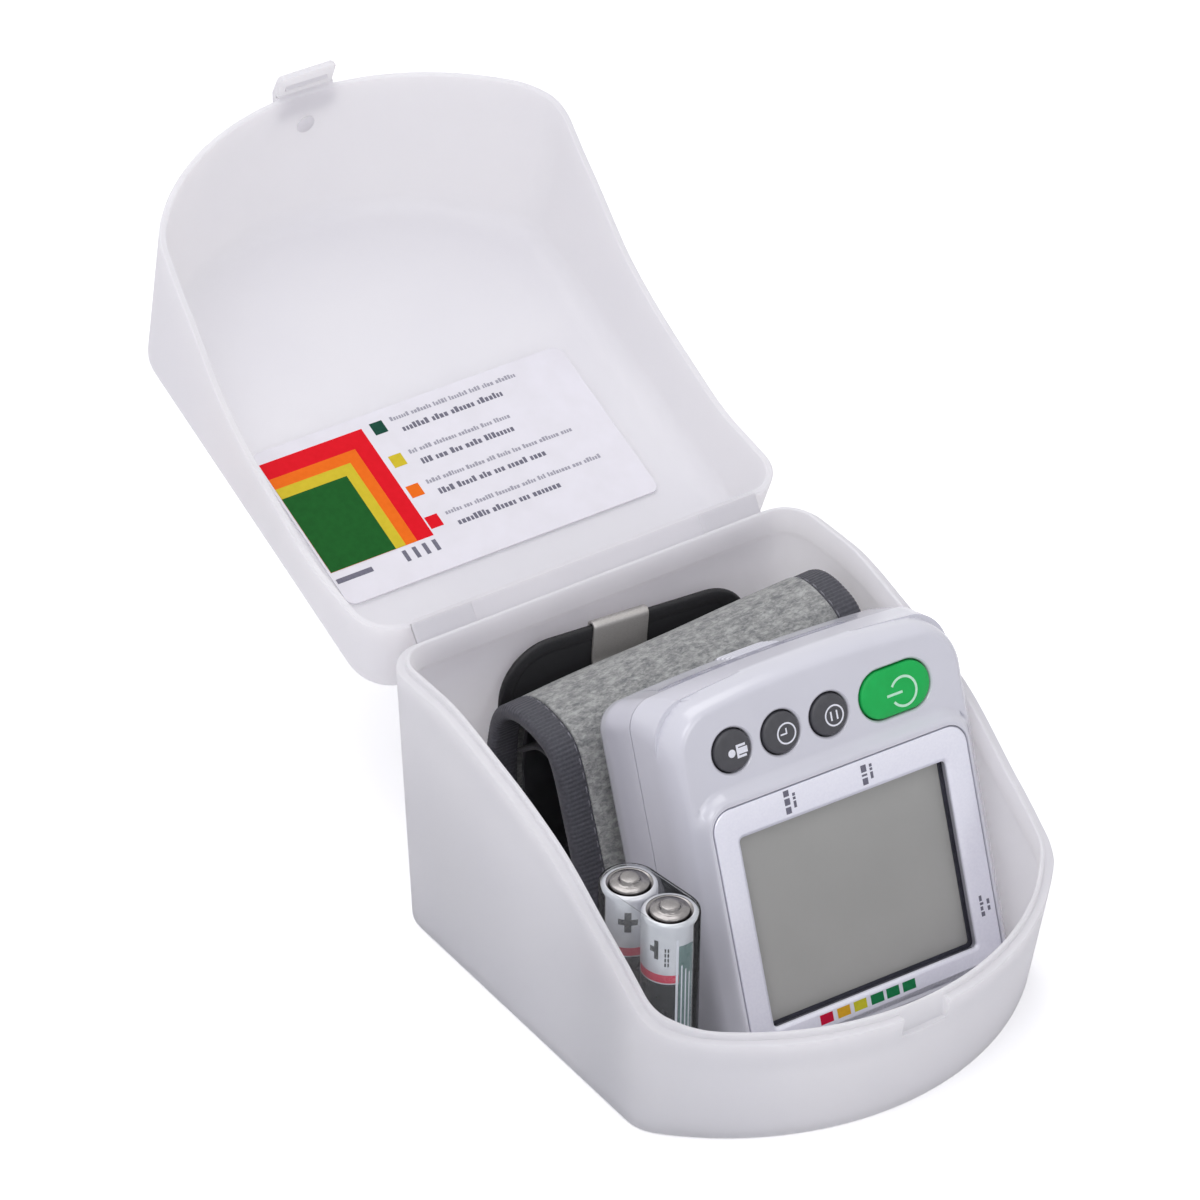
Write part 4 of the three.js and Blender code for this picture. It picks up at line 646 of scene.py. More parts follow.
# %% The lid
lid_open, hinge_y, hinge_z = -167.7, back_y + 1.0, base_back_height
lid_wall, lid_top_wall, lid_rounding, lid_draft = 1.4, 1.2, 4.0, 2.2
to_shoulder, to_top = 0.8, 0.2  # shares of the draft below and on the rounding
lid_back_top, lid_front_top = base_back_height + 18.6, base_front_height + 33.2
lid_slope = (lid_back_top - lid_front_top) / (2 * back_y)


def lid_top(y, drop=0.0):
    """Height of the closed lid's sloping top, less a drop."""
    return lid_back_top - lid_slope * (back_y - y) - drop


def opened(points):
    """A point of the closed lid, swung open about the hinge line."""
    return (points - [0, hinge_y, hinge_z]) @ turn("x", lid_open).T + [0, hinge_y, hinge_z]


def lid_shoulder(share_up, inset, drop):
    """A ring on the lid's top edge: the plan for a share of the draft, on the sloping top less a drop."""
    x, y = case_plan(case_half - lid_draft * share_up + np.zeros_like(share), back_y - back_draft * share_up,
                     -back_y + np.zeros_like(share), inset)
    return mirrored(x, y, lid_top(y, drop))


def lid_rim(inset, drop):
    """A ring on the rim of the base, lowered by a drop."""
    ring = base_ring(inset, drop=0)
    ring[:, 2] -= drop
    return ring


def lid_top_rings(inset, drop, angles):
    """The quarter round from the sloping top to the wall, for one face of the wall."""
    return [lid_shoulder(to_shoulder + to_top * np.sin(a), inset + lid_rounding * (1 - np.cos(a)),
                         drop + lid_rounding * (1 - np.sin(a))) for a in angles]


def lid_wall_rings(inset, drop, shares):
    """The straight wall between the shoulder and the rim, for one face of the wall."""
    shoulder, rim = lid_shoulder(to_shoulder, inset, drop + lid_rounding), lid_rim(inset, rim_drop - rim_round)
    return [shoulder + (rim - shoulder) * s for s in shares]


rim_drop = tongue_high - rim_round
round_angles = np.radians(np.linspace(90, 0, 9))
outside = lid_top_rings(0, 0, round_angles) + lid_wall_rings(0, 0, np.linspace(0.1, 1, 12))
edge = [lid_rim(rim_round, rim_drop), lid_rim(lid_wall - 0.25, rim_drop), lid_rim(lid_wall, rim_drop - 0.25)]
inside = (lid_wall_rings(lid_wall, lid_top_wall, np.linspace(0.95, 0.1, 12))
          + lid_top_rings(lid_wall, lid_top_wall, round_angles[::-1]))
lid = piece("case_lid_shell", "lid", case_plastic, moved(loft(outside + edge + inside), opened),
            replaces=("case_lid",))
print("case lid", len(lid.data.polygons), "faces")

# %% [markdown]
# The latch is a springy tab on the lid's front edge. It grows out of the wall, hangs over the rim of the
# base and snaps behind the notch with a small ridge. Its side view is the form that matters, so that is
# drawn once and carried across, with smaller end faces for the rounding.

# %% The latch
front = -back_y
tab_low = notch_top - 5.0
lean = front_draft / base_front_height


def beside_wall(z):
    """The place just outside the base's leaning front wall."""
    return front - 0.3 + lean * max(0.0, base_front_height - z)


# Places and heights, from the wall's inner face over the outside of the tab and back under the rim.
tab_profile = np.array([
    [front + 0.7, notch_top + 5.0], [front - 0.7, notch_top + 5.0], [front - 1.6, notch_top + 1.6],
    [front - 1.95, notch_top + 0.2], [beside_wall(tab_low) - 1.5, tab_low + 0.3],
    [beside_wall(tab_low) - 0.8, tab_low], [beside_wall(tab_low), tab_low + 0.3],
    [beside_wall(notch_top), notch_top + 0.3], [front + 0.7, notch_top + 0.3]])
across = np.array([-6.5, -6.35, -6.0, 6.0, 6.35, 6.5])
shrink = np.array([0.72, 0.93, 1, 1, 0.93, 0.72])
middle = tab_profile.mean(0)
tab_rings = [np.column_stack([np.full(len(tab_profile), x), middle + (tab_profile - middle) * k])
             for x, k in zip(across, shrink)]
ridge_z = notch_top - 0.8
ridge = np.array([[beside_wall(ridge_z), ridge_z], [beside_wall(ridge_z) + 0.65, ridge_z - 0.8],
                  [beside_wall(ridge_z - 1.6), ridge_z - 1.6]])
ridge_rings = [np.column_stack([np.full(3, x), ridge]) for x in (-4.8, 4.8)]
piece("latch_tab", "lid", case_plastic, moved(merged(loft(tab_rings), loft(ridge_rings)), opened), sharp=40,
      replaces=("case_lid",))
print(f"the latch is {across[-1] - across[0]:.1f} mm wide and ends {tab_low:.1f} mm above the table")

# %% [markdown]
# A shallow dimple inside the front wall of the lid shows where the plastic was let into the mould. It is
# turned on a lathe, a small disc of its own, so that the wall behind it stays a plain grid.

# %% Gate mark
gate = lathe([(0.05, 0.35), (0.9, 0.3), (1.5, 0.12), (2.0, 0.0), (2.0, -0.2), (0.05, -0.2)], 40)
piece("gate_mark", "lid", case_plastic,
      moved(gate, lambda p: opened(p @ turn("x", -90).T + [0, front + 2.0, 33.5])))
print("gate mark 4 mm across")

# %% [markdown]
# The hinge is a thin web of the same plastic, stiffened by two thicker straps near its ends. The real web
# bends when the lid moves; here it is drawn in the curve that it takes with the lid open, and is fixed to
# neither body.

# %% The hinge
hinge_half = case_half - case_back_radius
web_path = [(54.3, 59.55), (54.85, 60.25), (55.545, 61.2), (56.1, 61.95), (56.65, 62.85)]
web_thick, strap_thick, strap_long = 0.45, 1.0, 13.5


def hinge_band(name, x0, x1, thick, steps):
    """A band that follows the base and the lid, drawn curved between them as the lid stands open."""
    outline = section(x0, x1, -thick / 2, thick / 2, thick * 0.3, steps)
    band = piece(name, None, case_plastic, swept(smooth_line(web_path, 30, False), outline, False))
    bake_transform(band)
    return band


web = hinge_band("hinge_web", -hinge_half, hinge_half, web_thick, 40)
hinge_band("hinge_strap_left", -hinge_half, -hinge_half + strap_long, strap_thick, 8)
hinge_band("hinge_strap_right", hinge_half - strap_long, hinge_half, strap_thick, 8)
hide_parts("living_hinge")
print(f"hinge web {2 * hinge_half:.1f} mm long")

# %% [markdown]
# ## The chart in the lid
#
# A sticker shows which readings are normal. Its colours step from green in the corner to red, beside a
# key of four coloured squares and some lines of small grey print, for which rows of small blocks stand.
# Each ink is a thin patch that lies a few hundredths of a millimetre above the one below it.

# %% The sticker and its print
label_wide, label_tall, label_round, label_mid = 73, 38.5, 2, -2.3
label_low, label_high = back_y - 59.5, back_y - 21.0
label_face = 1.8  # how far the printed face lies below the lid's outer face


def on_card(outline, lift):
    """A flat outline laid under the closed lid's top, with a lift above the card's printed face."""
    outline = np.asarray(outline, float)
    return np.column_stack([outline, lid_top(outline[:, 1], label_face + lift)])


def card_outline(inset):
    """The card's outline for an inset."""
    return rounded_rectangle(label_wide - 2 * inset, label_tall - 2 * inset, label_round - inset, label_mid,
                             (label_low + label_high) / 2)


card_rings = [on_card(card_outline(i), lift) for i, lift in [(0.1, -0.3), (0, -0.25), (0, -0.05), (0.05, 0)]]
piece("chart_sticker", "lid", card_paper, moved(loft(card_rings), opened), replaces=("lid_label",))


def rectangle(x0, x1, y0, y1):
    """Four corners, with places along the depth of the case measured from its back."""
    return [(x0, back_y - y0), (x1, back_y - y0), (x1, back_y - y1), (x0, back_y - y1)]


def print_on_card(name, material, outlines, lift):
    """Thin flat patches of one ink."""
    shapes = [loft([on_card(o, lift - 0.02), on_card(o, lift)]) for o in outlines]
    piece(name, "lid", material, moved(merged(*shapes), opened))


chart_left, chart_right, chart_low, chart_high = -38.3, -14.6, 29.1, 56.7
chart_wide, chart_tall, layer, square_half = chart_right - chart_left, chart_high - chart_low, 0.03, 1.45
for step, (colour, across_share, up_share) in enumerate([("red", 1, 1), ("orange", 0.84, 0.862),
                                                         ("yellow", 0.73, 0.77), ("green", 0.63, 0.68)]):
    band = rectangle(chart_left, chart_left + chart_wide * across_share, chart_low,
                     chart_low + chart_tall * up_share)
    print_on_card(f"chart_band_{colour}", ink[colour], [band], 0.02 + layer * step)
legend = [(-11.2, 55.6, "dark_green"), (-11.8, 47.3, "yellow"), (-12.4, 39.7, "orange"), (-12.8, 31.9, "red")]
for x, y, colour in legend:
    print_on_card(f"legend_{colour}", ink[colour], [rectangle(x - square_half, x + square_half, y - square_half,
                                                              y + square_half)], layer)
random = np.random.default_rng(5)


def words(x, y, length, height):
    """A row of small blocks in groups of three to eight, as broad and high as a line of print. A block is
    0.35 to 0.6 of the height wide, and two in three are a little lower than the rest."""
    blocks, at = [], x
    while at < x + length:
        for _ in range(random.integers(3, 9)):
            wide, tall = random.uniform(0.35, 0.6) * height, height * random.choice([0.72, 0.72, 1.0])
            blocks.append(rectangle(at, at + wide, y - height / 2, y - height / 2 + tall))
            at += wide + 0.2 * height
        at += 0.5 * height
    return blocks


for name, tone, dx, dy, height, lengths in [("legend_fine_lines", "pale_grey", 3.2, 0.9, 1.0, (27, 24, 33, 33)),
                                            ("legend_bold_lines", "grey", 4.4, -2.0, 1.35, (22, 22, 22, 19))]:
    blocks = [b for (x, y, _), n in zip(legend, lengths) for b in words(x + dx, y + dy, n, height)]
    print_on_card(name, ink[tone], blocks, layer)
    print(name, len(blocks), "blocks")
marks = [rectangle(chart_left + 15.6 + 2.3 * k, chart_left + 16.5 + 2.3 * k, 25.6, 28.2) for k in range(4)]
marks.append(rectangle(chart_left, chart_left + 8.2, 26.3, 27.4))
print_on_card("axis_marks", ink["grey"], marks, layer)

# %% [markdown]
# ## The monitor's shells
#
# The monitor has its own axes: U to the right and V up its face, N out of the face, with the origin in
# the middle of the display. It leans back in the case. The front shell is one surface that starts at
# the seam, climbs the side, rolls over a soft edge and runs across the face to the bezel's recess. The
# face lies low round the keys and rises to a plateau round the display. It could be modelled by hand from
# a subdivided block, but the even rings keep the pearl highlight along the edge free of dents.

# %% Placing the monitor
unit_origin = np.array([10.655, -19.73, 25.7])
unit_lean, unit_tilt = 21.1, 0.6  # degrees, backwards and to the right
yaw = turn("z", -1.4)
unit_axes = yaw @ turn("x", 90 - unit_lean) @ turn("z", -unit_tilt)
lean_sine, lean_cosine = math.sin(math.radians(unit_lean)), math.cos(math.radians(unit_lean))
foot_slope = math.tan(math.radians(unit_tilt))


def on_unit(points):
    """From the monitor's own axes to the case."""
    return np.asarray(points) @ unit_axes.T + unit_origin


def on_cuff(points):
    """From the upright axes that share the monitor's origin and turn."""
    return np.asarray(points) @ yaw.T + unit_origin


unit_half, unit_top, unit_foot, unit_wall, seam, key_zone = 33.2, 47.4, 23.9, 1.8, 16.0, 2.3
plateau_half, plateau_top, plateau_corner, face_corner = 29.6, 26.4, 5.5, 9
recess_wide, recess_tall, recess_rise, glass_wide, glass_tall = 58, 49.6, 0.7, 48.1, 39.2
unit_counts = [12, 70, 26, 60]  # columns on the foot, the side, the corner and the top
u_kind = np.append(np.repeat(np.arange(4), unit_counts), 3)
u_share = np.append(np.concatenate([np.arange(n) / n for n in unit_counts]), 1.0)


def unit_ring(depth, half, top, radius, bow, inset=0.0):
    """A ring of the shells at a depth: along the foot, up the side, round the corner and over the bowed top,
    with its mirror image. The foot lies level with the floor."""
    w, t = half - inset, top - inset
    r = max(radius - inset, 0.4)
    side = t - bow
    reach = ((w - r) ** 2 + bow ** 2) / (2 * bow)
    opening = math.asin((w - r) / reach)
    low = (-unit_foot - lean_sine * depth) / lean_cosine + inset
    a = (np.pi / 2 - opening) * u_share
    b = np.pi / 2 - opening * (1 - u_share)
    cases = [u_kind == k for k in range(4)]
    zero = np.zeros_like(u_share)
    x = np.select(cases, [w * u_share, w + zero, w - r + r * np.cos(a), reach * np.cos(b)])
    y = np.select(cases, [low + zero, low + (side - r - low) * u_share, side - r + r * np.sin(a),
                          t - reach + reach * np.sin(b)])
    ring = mirrored(x, y, depth)
    foot_part = np.clip((side - r - ring[:, 1]) / (side - r - low), 0, 1)
    ring[:, 1] += foot_slope * ring[:, 0] * foot_part
    return ring


def window_ring(width, height, radius, rise, depth):
    """A rounded rectangle in the same columns: foot columns on its lower side, side columns on its side
    and, with the first part of them, round its lower corner."""
    w, h, wrap = width / 2, height / 2, 0.15
    lower = u_share[u_kind == 1] * (1 + wrap) - wrap
    x, y = np.empty_like(u_share), np.empty_like(u_share)
    foot_columns, side_columns, corner_columns, top_columns = (u_kind == k for k in range(4))
    x[foot_columns], y[foot_columns] = (w - radius) * u_share[foot_columns], -h
    bend = np.radians(-90 + 90 * np.clip(1 + lower / wrap, 0, 1))
    x[side_columns] = np.where(lower < 0, w - radius + radius * np.cos(bend), w)
    y[side_columns] = np.where(lower < 0, -h + radius + radius * np.sin(bend),
                               -h + radius + (2 * h - 2 * radius) * np.clip(lower, 0, 1))
    corner = np.pi / 2 * u_share[corner_columns]
    x[corner_columns] = w - radius + radius * np.cos(corner)
    y[corner_columns] = h - radius + radius * np.sin(corner)
    x[top_columns], y[top_columns] = (w - radius) * (1 - u_share[top_columns]), h
    return mirrored(x, y + rise, depth)


def outside_of(u, v, half, top, corner):
    """The distance outside a rounded corner: the length beyond its two straight sides, less the radius."""
    q = np.stack([u - (half - corner), v - (top - corner)], -1)
    return np.linalg.norm(np.maximum(q, 0), axis=-1) + np.minimum(q.max(-1), 0) - corner


def face_height(points):
    """Height of the face: a low key zone, a plateau round the display, and the rounded outer edge."""
    u, v = np.abs(points[:, 0]), points[:, 1]
    beyond = outside_of(u, v, plateau_half, plateau_top, plateau_corner)
    zone = -key_zone * soft_step(beyond / 2.5 + 0.06)
    top_edge = unit_top - 0.1 - 1.44 * (u / 24.2) ** 2
    edge = np.interp(-outside_of(u, v, unit_half, top_edge, face_corner),
                     [0, 0.1, 0.25, 0.5, 0.85, 1.3, 1.8, 2.4, 3, 3.6, 4.4, 6],
                     [-8, -6.7, -5.8, -4.9, -4.05, -3.25, -2.6, -1.8, -0.95, -0.1, 0.9, 2.4])
    return soft_min(edge, zone, 0.85)


print(f"the monitor leans back by {unit_lean} degrees")

# %% The front shell
side_rings = [unit_ring(depth, unit_half, unit_top - lower, radius, bow) for depth, lower, radius, bow in zip(
    np.linspace(-seam, -8, 7), np.linspace(1.0, 0.1, 7), np.linspace(5.5, 8, 7), np.linspace(0.9, 1.3, 7))]
insets = [0.04, 0.1, 0.17, 0.25, 0.36, 0.5, 0.66, 0.85, 1.05, 1.3, 1.55, 1.8, 2.1, 2.4]
edge_rings = [unit_ring(-8 + 6 * i / insets[-1], unit_half - i, unit_top - 0.1 - i, 8.3 - 0.6 * i, 1.4)
              for i in insets]
recess = window_ring(recess_wide, recess_tall, 4.3, recess_rise, 0)
across_face = 1 - (1 - np.linspace(0, 1, 56)[1:]) ** 1.25
face_rings = [edge_rings[-1] * (1 - s) + recess * s for s in across_face]
for ring in edge_rings + face_rings:
    ring[:, 2] = face_height(ring)
for ring in edge_rings + face_rings[:20]:
    low_edge = (-unit_foot - lean_sine * ring[:, 2]) / lean_cosine
    at_foot = ring[:, 1] < low_edge + 0.05
    ring[at_foot, 1] = low_edge[at_foot] + foot_slope * ring[at_foot, 0]
recess_wall = [window_ring(recess_wide - 0.1, recess_tall - 0.1, 4.25, recess_rise, z) for z in (-0.12, -1.1)]
recess_wall += [window_ring(glass_wide, glass_tall, 1.2, 0, z) for z in (-1.1, -2.9)]
inner_wall = [unit_ring(z, unit_half, unit_top - 1, 9, 1.6, unit_wall) for z in (-4.1, -seam)]
front_rings = side_rings + edge_rings + face_rings + recess_wall + inner_wall
front_shell = piece("front_shell_skin", "monitor", shell_plastic, moved(loft(front_rings, stack_closed=True),
                                                                        on_unit), replaces=("front_shell",))

# %% [markdown]
# The keys stand in holes whose upper rim flares out. The holes break the rings, so they are cut: one
# Boolean with all four plugs keeps the mesh cleaner than four in a row.

# %% Key holes
key_row, key_radius, key_gap = 35.0, 4.05, 0.3
keys_u = {"user": -20.4, "clock": -9.5, "memory": 1.4}
power_u, power_long, power_wide = 16.5, 15.7, 9.4


def disc(radius, cx, cy):
    """A circle, as a rounded rectangle with almost no straight sides."""
    return rounded_rectangle(2 * radius, 2 * radius, radius - 0.001, cx, cy, 16)


def stadium(long, wide, cx=0.0, cy=0.0, steps=20):
    """Two half circles joined by straight sides."""
    return rounded_rectangle(long, wide, wide / 2 - 0.001, cx, cy, steps)


def key_cutter(outline_at):
    """A hole through the shell whose upper rim is a little wider."""
    levels = [(0, -6.0), (0, -2.75), (-0.12, -2.5), (-0.4, -2.3), (-0.75, -1.9), (-0.8, 1.0)]
    return loft([at_level(outline_at(i), z) for i, z in levels])


holes = [key_cutter(lambda i, u=u: disc(key_radius + key_gap - i, u, key_row)) for u in keys_u.values()]
holes.append(key_cutter(lambda i: stadium(power_long + 2 * (key_gap - i), power_wide + 2 * (key_gap - i),
                                          power_u, key_row)))
cut(front_shell, piece("key_holes", None, shell_plastic, moved(merged(*holes), on_unit)))
print("front shell", len(front_shell.data.polygons), "faces")

# %% [markdown]
# The rear shell is a cup whose corners draw in towards the back. Two cells sit in it under a cover that
# slides away upwards. The cover is cut out of the same skin, so its surface runs on without a step. Two
# separate skins would need the same numbers twice and could drift apart.

# %% The rear shell
# A depth, and there how far the sides and the top draw in, the corner's radius and the top's bow.
rear_levels = np.array([[-16.3, 0, 1.1, 5.5, 0.9], [-22, 0.1, 2.2, 5.5, 0.9], [-26, 0.3, 3, 5, 0.9],
                        [-29.2, 0.9, 4.1, 5, 0.9], [-30.2, 1.7, 4.9, 4.7, 0.9], [-30.7, 2.7, 5.9, 4.5, 0.9],
                        [-30.8, 3.3, 6.5, 4.3, 0.9]])


def rear_sizes(depth):
    """The four sizes of the rear shell at a depth, in straight lines between the levels."""
    return (np.interp(-depth, -rear_levels[:, 0], rear_levels[:, k]) for k in range(1, 5))


def rear_ring(depth, inset=0.0):
    """The rear shell's outline at a depth."""
    narrow, low, radius, bow = rear_sizes(depth)
    return unit_ring(depth, unit_half - narrow, unit_top - low, radius, bow, inset)


depths = np.concatenate([np.linspace(-16.3, -29.2, 16), [-29.6, -29.95, -30.25, -30.5, -30.7, -30.8]])
outer_cup = [rear_ring(d) for d in depths]
inner_cup = [rear_ring(d, unit_wall) for d in np.linspace(-28.6, -16.3, 12)]


def rear_skin(name, body, node):
    """The whole cup as a closed wall."""
    rings = outer_cup[::-1] + inner_cup[::-1] + [rear_ring(-29.0, unit_wall + 0.4)]
    return piece(name, body, shell_plastic, moved(loft(rings), on_unit), replaces=(node,))


def plain_block(x0, x1, y0, y1, z0, z1, edge=0.25):
    """A moulded block with rounded edges."""
    return slab(lambda i: rounded_rectangle(x1 - x0 - 2 * i, y1 - y0 - 2 * i, max(0.3 - i, 0.02), (x0 + x1) / 2,
                                            (y0 + y1) / 2, 3), z0, z1, edge, 3)


cover_left, cover_right, cover_low, lip_depth, cover_gap = -24.0, 21.6, 20.1, 20.0, 0.3


def cover_cutter(gap):
    """The block that takes the cover out of the cup, larger by a gap on three sides and towards the front."""
    block = plain_block(cover_left - gap, cover_right + gap, cover_low - gap, 60, -40, -lip_depth + gap, 0.05)
    return piece("cover_cutter", None, shell_plastic, moved(block, on_unit))


rear = rear_skin("rear_shell_skin", "monitor", "rear_shell")
cut(rear, cover_cutter(cover_gap))
cover = rear_skin("battery_cover_skin", "battery_cover_body", "battery_cover")
cut(cover, cover_cutter(0), "INTERSECT")
bay_low, bay_high, bay_half, bay_back, bay_front = 19.8, 41.6, 25.4, -28.7, -13.4
bay_out, bay_under = bay_half + 1.2, bay_low - 1.2
bay = [(-bay_out, bay_out, bay_under, bay_low, bay_back, bay_front),
       (-bay_out, bay_out, bay_under, bay_high, bay_front - 1, bay_front),
       (-bay_out, -bay_half, bay_under, bay_high, bay_back, bay_front),
       (bay_half, bay_out, bay_under, bay_high, bay_back, bay_front)]
piece("cell_bay", "monitor", shell_plastic, moved(merged(*(plain_block(*b, 0.15) for b in bay)), on_unit))
print("rear shell", len(rear.data.polygons), "faces, cover", len(cover.data.polygons))

# %% [markdown]
# Behind the seam the top carries a raised arrow that shows which way the cover slides, and the cover has
# four grip ribs. Both are low relief, a few tenths of a millimetre, laid on the same curved surface. The
# arrow is also coloured darker: painted shade, for the shade that lines a low relief. A bump in the
# material would be simpler, but its edge would not stand out against the light.


# %% Arrow and grip ribs
def top_height(u, depth):
    """Height of the bowed top of the rear shell at a place and a depth: an arc over the flat middle part."""
    narrow, low, radius, bow = rear_sizes(depth)
    flat = unit_half - narrow - radius
    reach = (flat ** 2 + bow ** 2) / (2 * bow)
    return unit_top - low - reach + np.sqrt(reach ** 2 - u ** 2)


def on_top(outline, lift):
    """A flat outline of U and depth laid on the top with a lift."""
    outline = np.asarray(outline, float)
    return np.column_stack([outline[:, 0], top_height(outline[:, 0], outline[:, 1]) + lift, outline[:, 1]])


def rib(depth):
    """One grip rib: a half-round ridge along the cover's edge that fades out at its two ends."""
    along, a = np.linspace(-6.7, 4.3, 24), np.linspace(0, np.pi, 9)
    fade = np.clip(np.minimum(along + 6.95, 4.55 - along) / 0.8, 0.3, 1)
    depths_round = np.append(depth + 0.4 * np.cos(a), [depth - 0.38, depth + 0.38])
    heights = [np.append(0.35 * np.sin(a) * k, [-0.3, -0.3]) for k in fade]
    return loft([np.column_stack([np.full(11, u), top_height(u, depth) + h, depths_round])
                 for u, h in zip(along, heights)])


ribs_shape = merged(*(rib(-21.0 - 1.7 * k) for k in range(4)))
piece("grip_ribs", "battery_cover_body", shell_plastic, moved(ribs_shape, on_unit))
strokes = [(-24.6, -18.2, -21.0, -17.0), (-24.6, -18.2, -21.0, -19.5), (-21.0, -17.0, 17.0, -17.0),
           (-21.0, -19.5, 17.0, -19.5), (17.0, -17.0, 17.0, -19.5)]
strokes += [(u, -18.8, u + 0.5, -17.8) for u in (-19.4, -18.5, -17.6, -16.7, -15.8)]
strokes += [(tip, -18.25, tip + 2.6, -18.25 + way) for tip in (-12.6, -9.0, -4.4, 1.5) for way in (-0.75, 0.75)]


def raised_stroke(u0, d0, u1, d1, line=0.32):
    """A raised line on the top, from one place to another."""
    way = np.array([u1 - u0, d1 - d0]) / math.hypot(u1 - u0, d1 - d0)
    side = np.array([-way[1], way[0]]) * line / 2
    s = np.linspace(0, 1, 9)[:, None]
    middle = np.array([u0, d0]) + (np.array([u1, d1]) - [u0, d0]) * s
    outline = np.concatenate([middle - side, (middle + side)[::-1]])
    return loft([on_top(outline, -0.05), on_top(outline, 0.12)])


arrow_shape = merged(*(raised_stroke(*line) for line in strokes))
# The arrow's darker grey is painted shade along its relief.
piece("slide_arrow", "monitor", relief_painted_shade, moved(arrow_shape, on_unit))
print(f"4 grip ribs and an arrow of {len(strokes)} strokes")

# %% [markdown]
# ## The display
#
# A satin silver bezel lies in the recess. Under it sit the clear window, a black masking frame and the
# grey display glass. The frame's dark band is partly a real black border and partly painted shade, for the
# shade in the well under the bezel. The bezel's print shows as plain bars and six traffic-light squares.
# The display is off, so it is one plain film, and what it shows is the room that it reflects.

# %% Bezel, masking frame and prints
bezel_rings = []
for inset, level in [(0.1, -0.8), (0, -0.7), (0, -0.28), (0.05, -0.12), (0.16, -0.03), (0.3, 0.0)]:
    outline = rounded_rectangle(57.4 - 2 * inset, 49 - 2 * inset, 4 - inset, 0, recess_rise)
    bezel_rings.append(at_level(outline, level))
for grow, level in [(0.9, 0.0), (0.75, -0.02), (0.25, -0.35), (0.1, -0.45), (0, -0.8)]:
    bezel_rings.append(at_level(rounded_rectangle(46.7 + 2 * grow, 37.8 + 2 * grow, 0.8 + grow), level))
piece("silver_bezel_plate", "monitor", silver_paint, moved(loft(bezel_rings, stack_closed=True), on_unit),
      replaces=("silver_bezel",))


def frame_between(outer_size, inner_size, low, high, radius=0.8):
    """A flat frame between two rounded rectangles."""
    big = rounded_rectangle(*outer_size, radius)
    small = rounded_rectangle(*inner_size, radius * 0.8)
    return loft([at_level(big, low), at_level(big, high), at_level(small, high), at_level(small, low)],
                stack_closed=True)


# The frame shows as a dark band at the right and bottom: a real black border, and partly painted shade for the
# well.
piece("masking_frame", "monitor", black_frame_and_well_shade,
      moved(frame_between((48.2, glass_tall), (46.3, 37.4), -3.15, -2.95), on_unit))


def print_on_face(name, material, shapes, level, body="monitor"):
    """Patches of one ink 0.02 mm thick on the monitor, given as outlines on its face."""
    patches = [loft([at_level(o, level - 0.01), at_level(o, level + 0.01)]) for o in shapes]
    piece(name, body, material, moved(merged(*patches), on_unit))


def bar(u0, u1, v0, v1):
    """Four corners on the face."""
    return np.array([(u0, v0), (u1, v0), (u1, v1), (u0, v1)], float)


squares = [(-12.2, "crimson"), (-8.3, "amber"), (-4.5, "lime"), (-0.6, "traffic_green"), (3.0, "traffic_green"),
           (6.75, "traffic_green")]
for number, (u, colour) in enumerate(squares):
    print_on_face(f"scale_square_{number + 1}", ink[colour],
                  [bar(u - square_half, u + square_half, -21.85, -19.9)], 0.02)

# Three small prints on the bezel, each a group of bars: place, width, low end and length of each bar.
print_on_face("scale_words", ink["grey"], [bar(u, u + wide, v, v + long) for u, wide, v, long in [
    (-12.8, 1.2, 20.2, 1.3), (-12.8, 1.2, 21.9, 1.3), (-12.8, 1.2, 23.6, 1.2), (-10.9, 0.6, 21.0, 1.3),
    (-10.9, 0.6, 22.6, 0.5), (-10.9, 0.6, 23.3, 0.6), (4.6, 1.2, 20.2, 1.3), (4.6, 1.2, 21.9, 0.4),
    (4.6, 1.2, 22.7, 1.4), (6.5, 0.6, 21.0, 1.3), (6.5, 0.6, 22.6, 0.5), (6.5, 0.6, 23.3, 0.6),
    (25.3, 0.8, -13.4, 0.9), (25.3, 0.6, -12.2, 0.8), (25.3, 0.8, -11.1, 0.5), (25.3, 0.6, -10.3, 1.1),
    (26.9, 0.6, -12.6, 0.9), (26.9, 0.6, -11.3, 1.0)]], 0.02)
print(f"bezel with {len(squares)} coloured squares")

# %% [markdown]
# ## The keys
#
# Three round keys and one long green key stand almost flush in flared holes of the shell. A cap is a
# stack of rings too, with a flange that the shell holds back. Its sign is printed: head, shoulders, body
# and arms, a clock, a ring with two bars and an open ring with a bar. Each sign rides on its key.

# %% Key caps
key_top = -2.1
# Inset and level, from the flange below to the rim of the cap.
key_levels = [(-0.9, -4.98), (-0.9, -4.48), (0, -4.4), (0, key_top - 0.55), (0.06, key_top - 0.3),
              (0.2, key_top - 0.1), (0.45, key_top)]


def cap_shape(outline_at, crown):
    """A key cap with a rounded rim and a slightly raised middle."""
    rings = [at_level(outline_at(i), z) for i, z in key_levels]
    for share_in in (0.3, 0.6, 0.85):
        ring = at_level(outline_at(0.45), key_top + crown * (1 - (1 - share_in) ** 2))
        centre = ring[:, :2].mean(0)
        ring[:, :2] = centre + (ring[:, :2] - centre) * (1 - share_in)
        rings.append(ring)
    return loft(rings)


for name, u in keys_u.items():
    round_cap = cap_shape(lambda i: disc(key_radius - i, u, key_row), 0.04)
    piece(f"{name}_key_cap", f"{name}_key", key_rubber, moved(round_cap, on_unit), replaces=(f"button_{name}",))
long_cap = cap_shape(lambda i: stadium(power_long - 2 * i, power_wide - 2 * i, power_u, key_row), 0.08)
piece("power_key_cap", "power_key", green_key, moved(long_cap, on_unit), replaces=("button_power",))


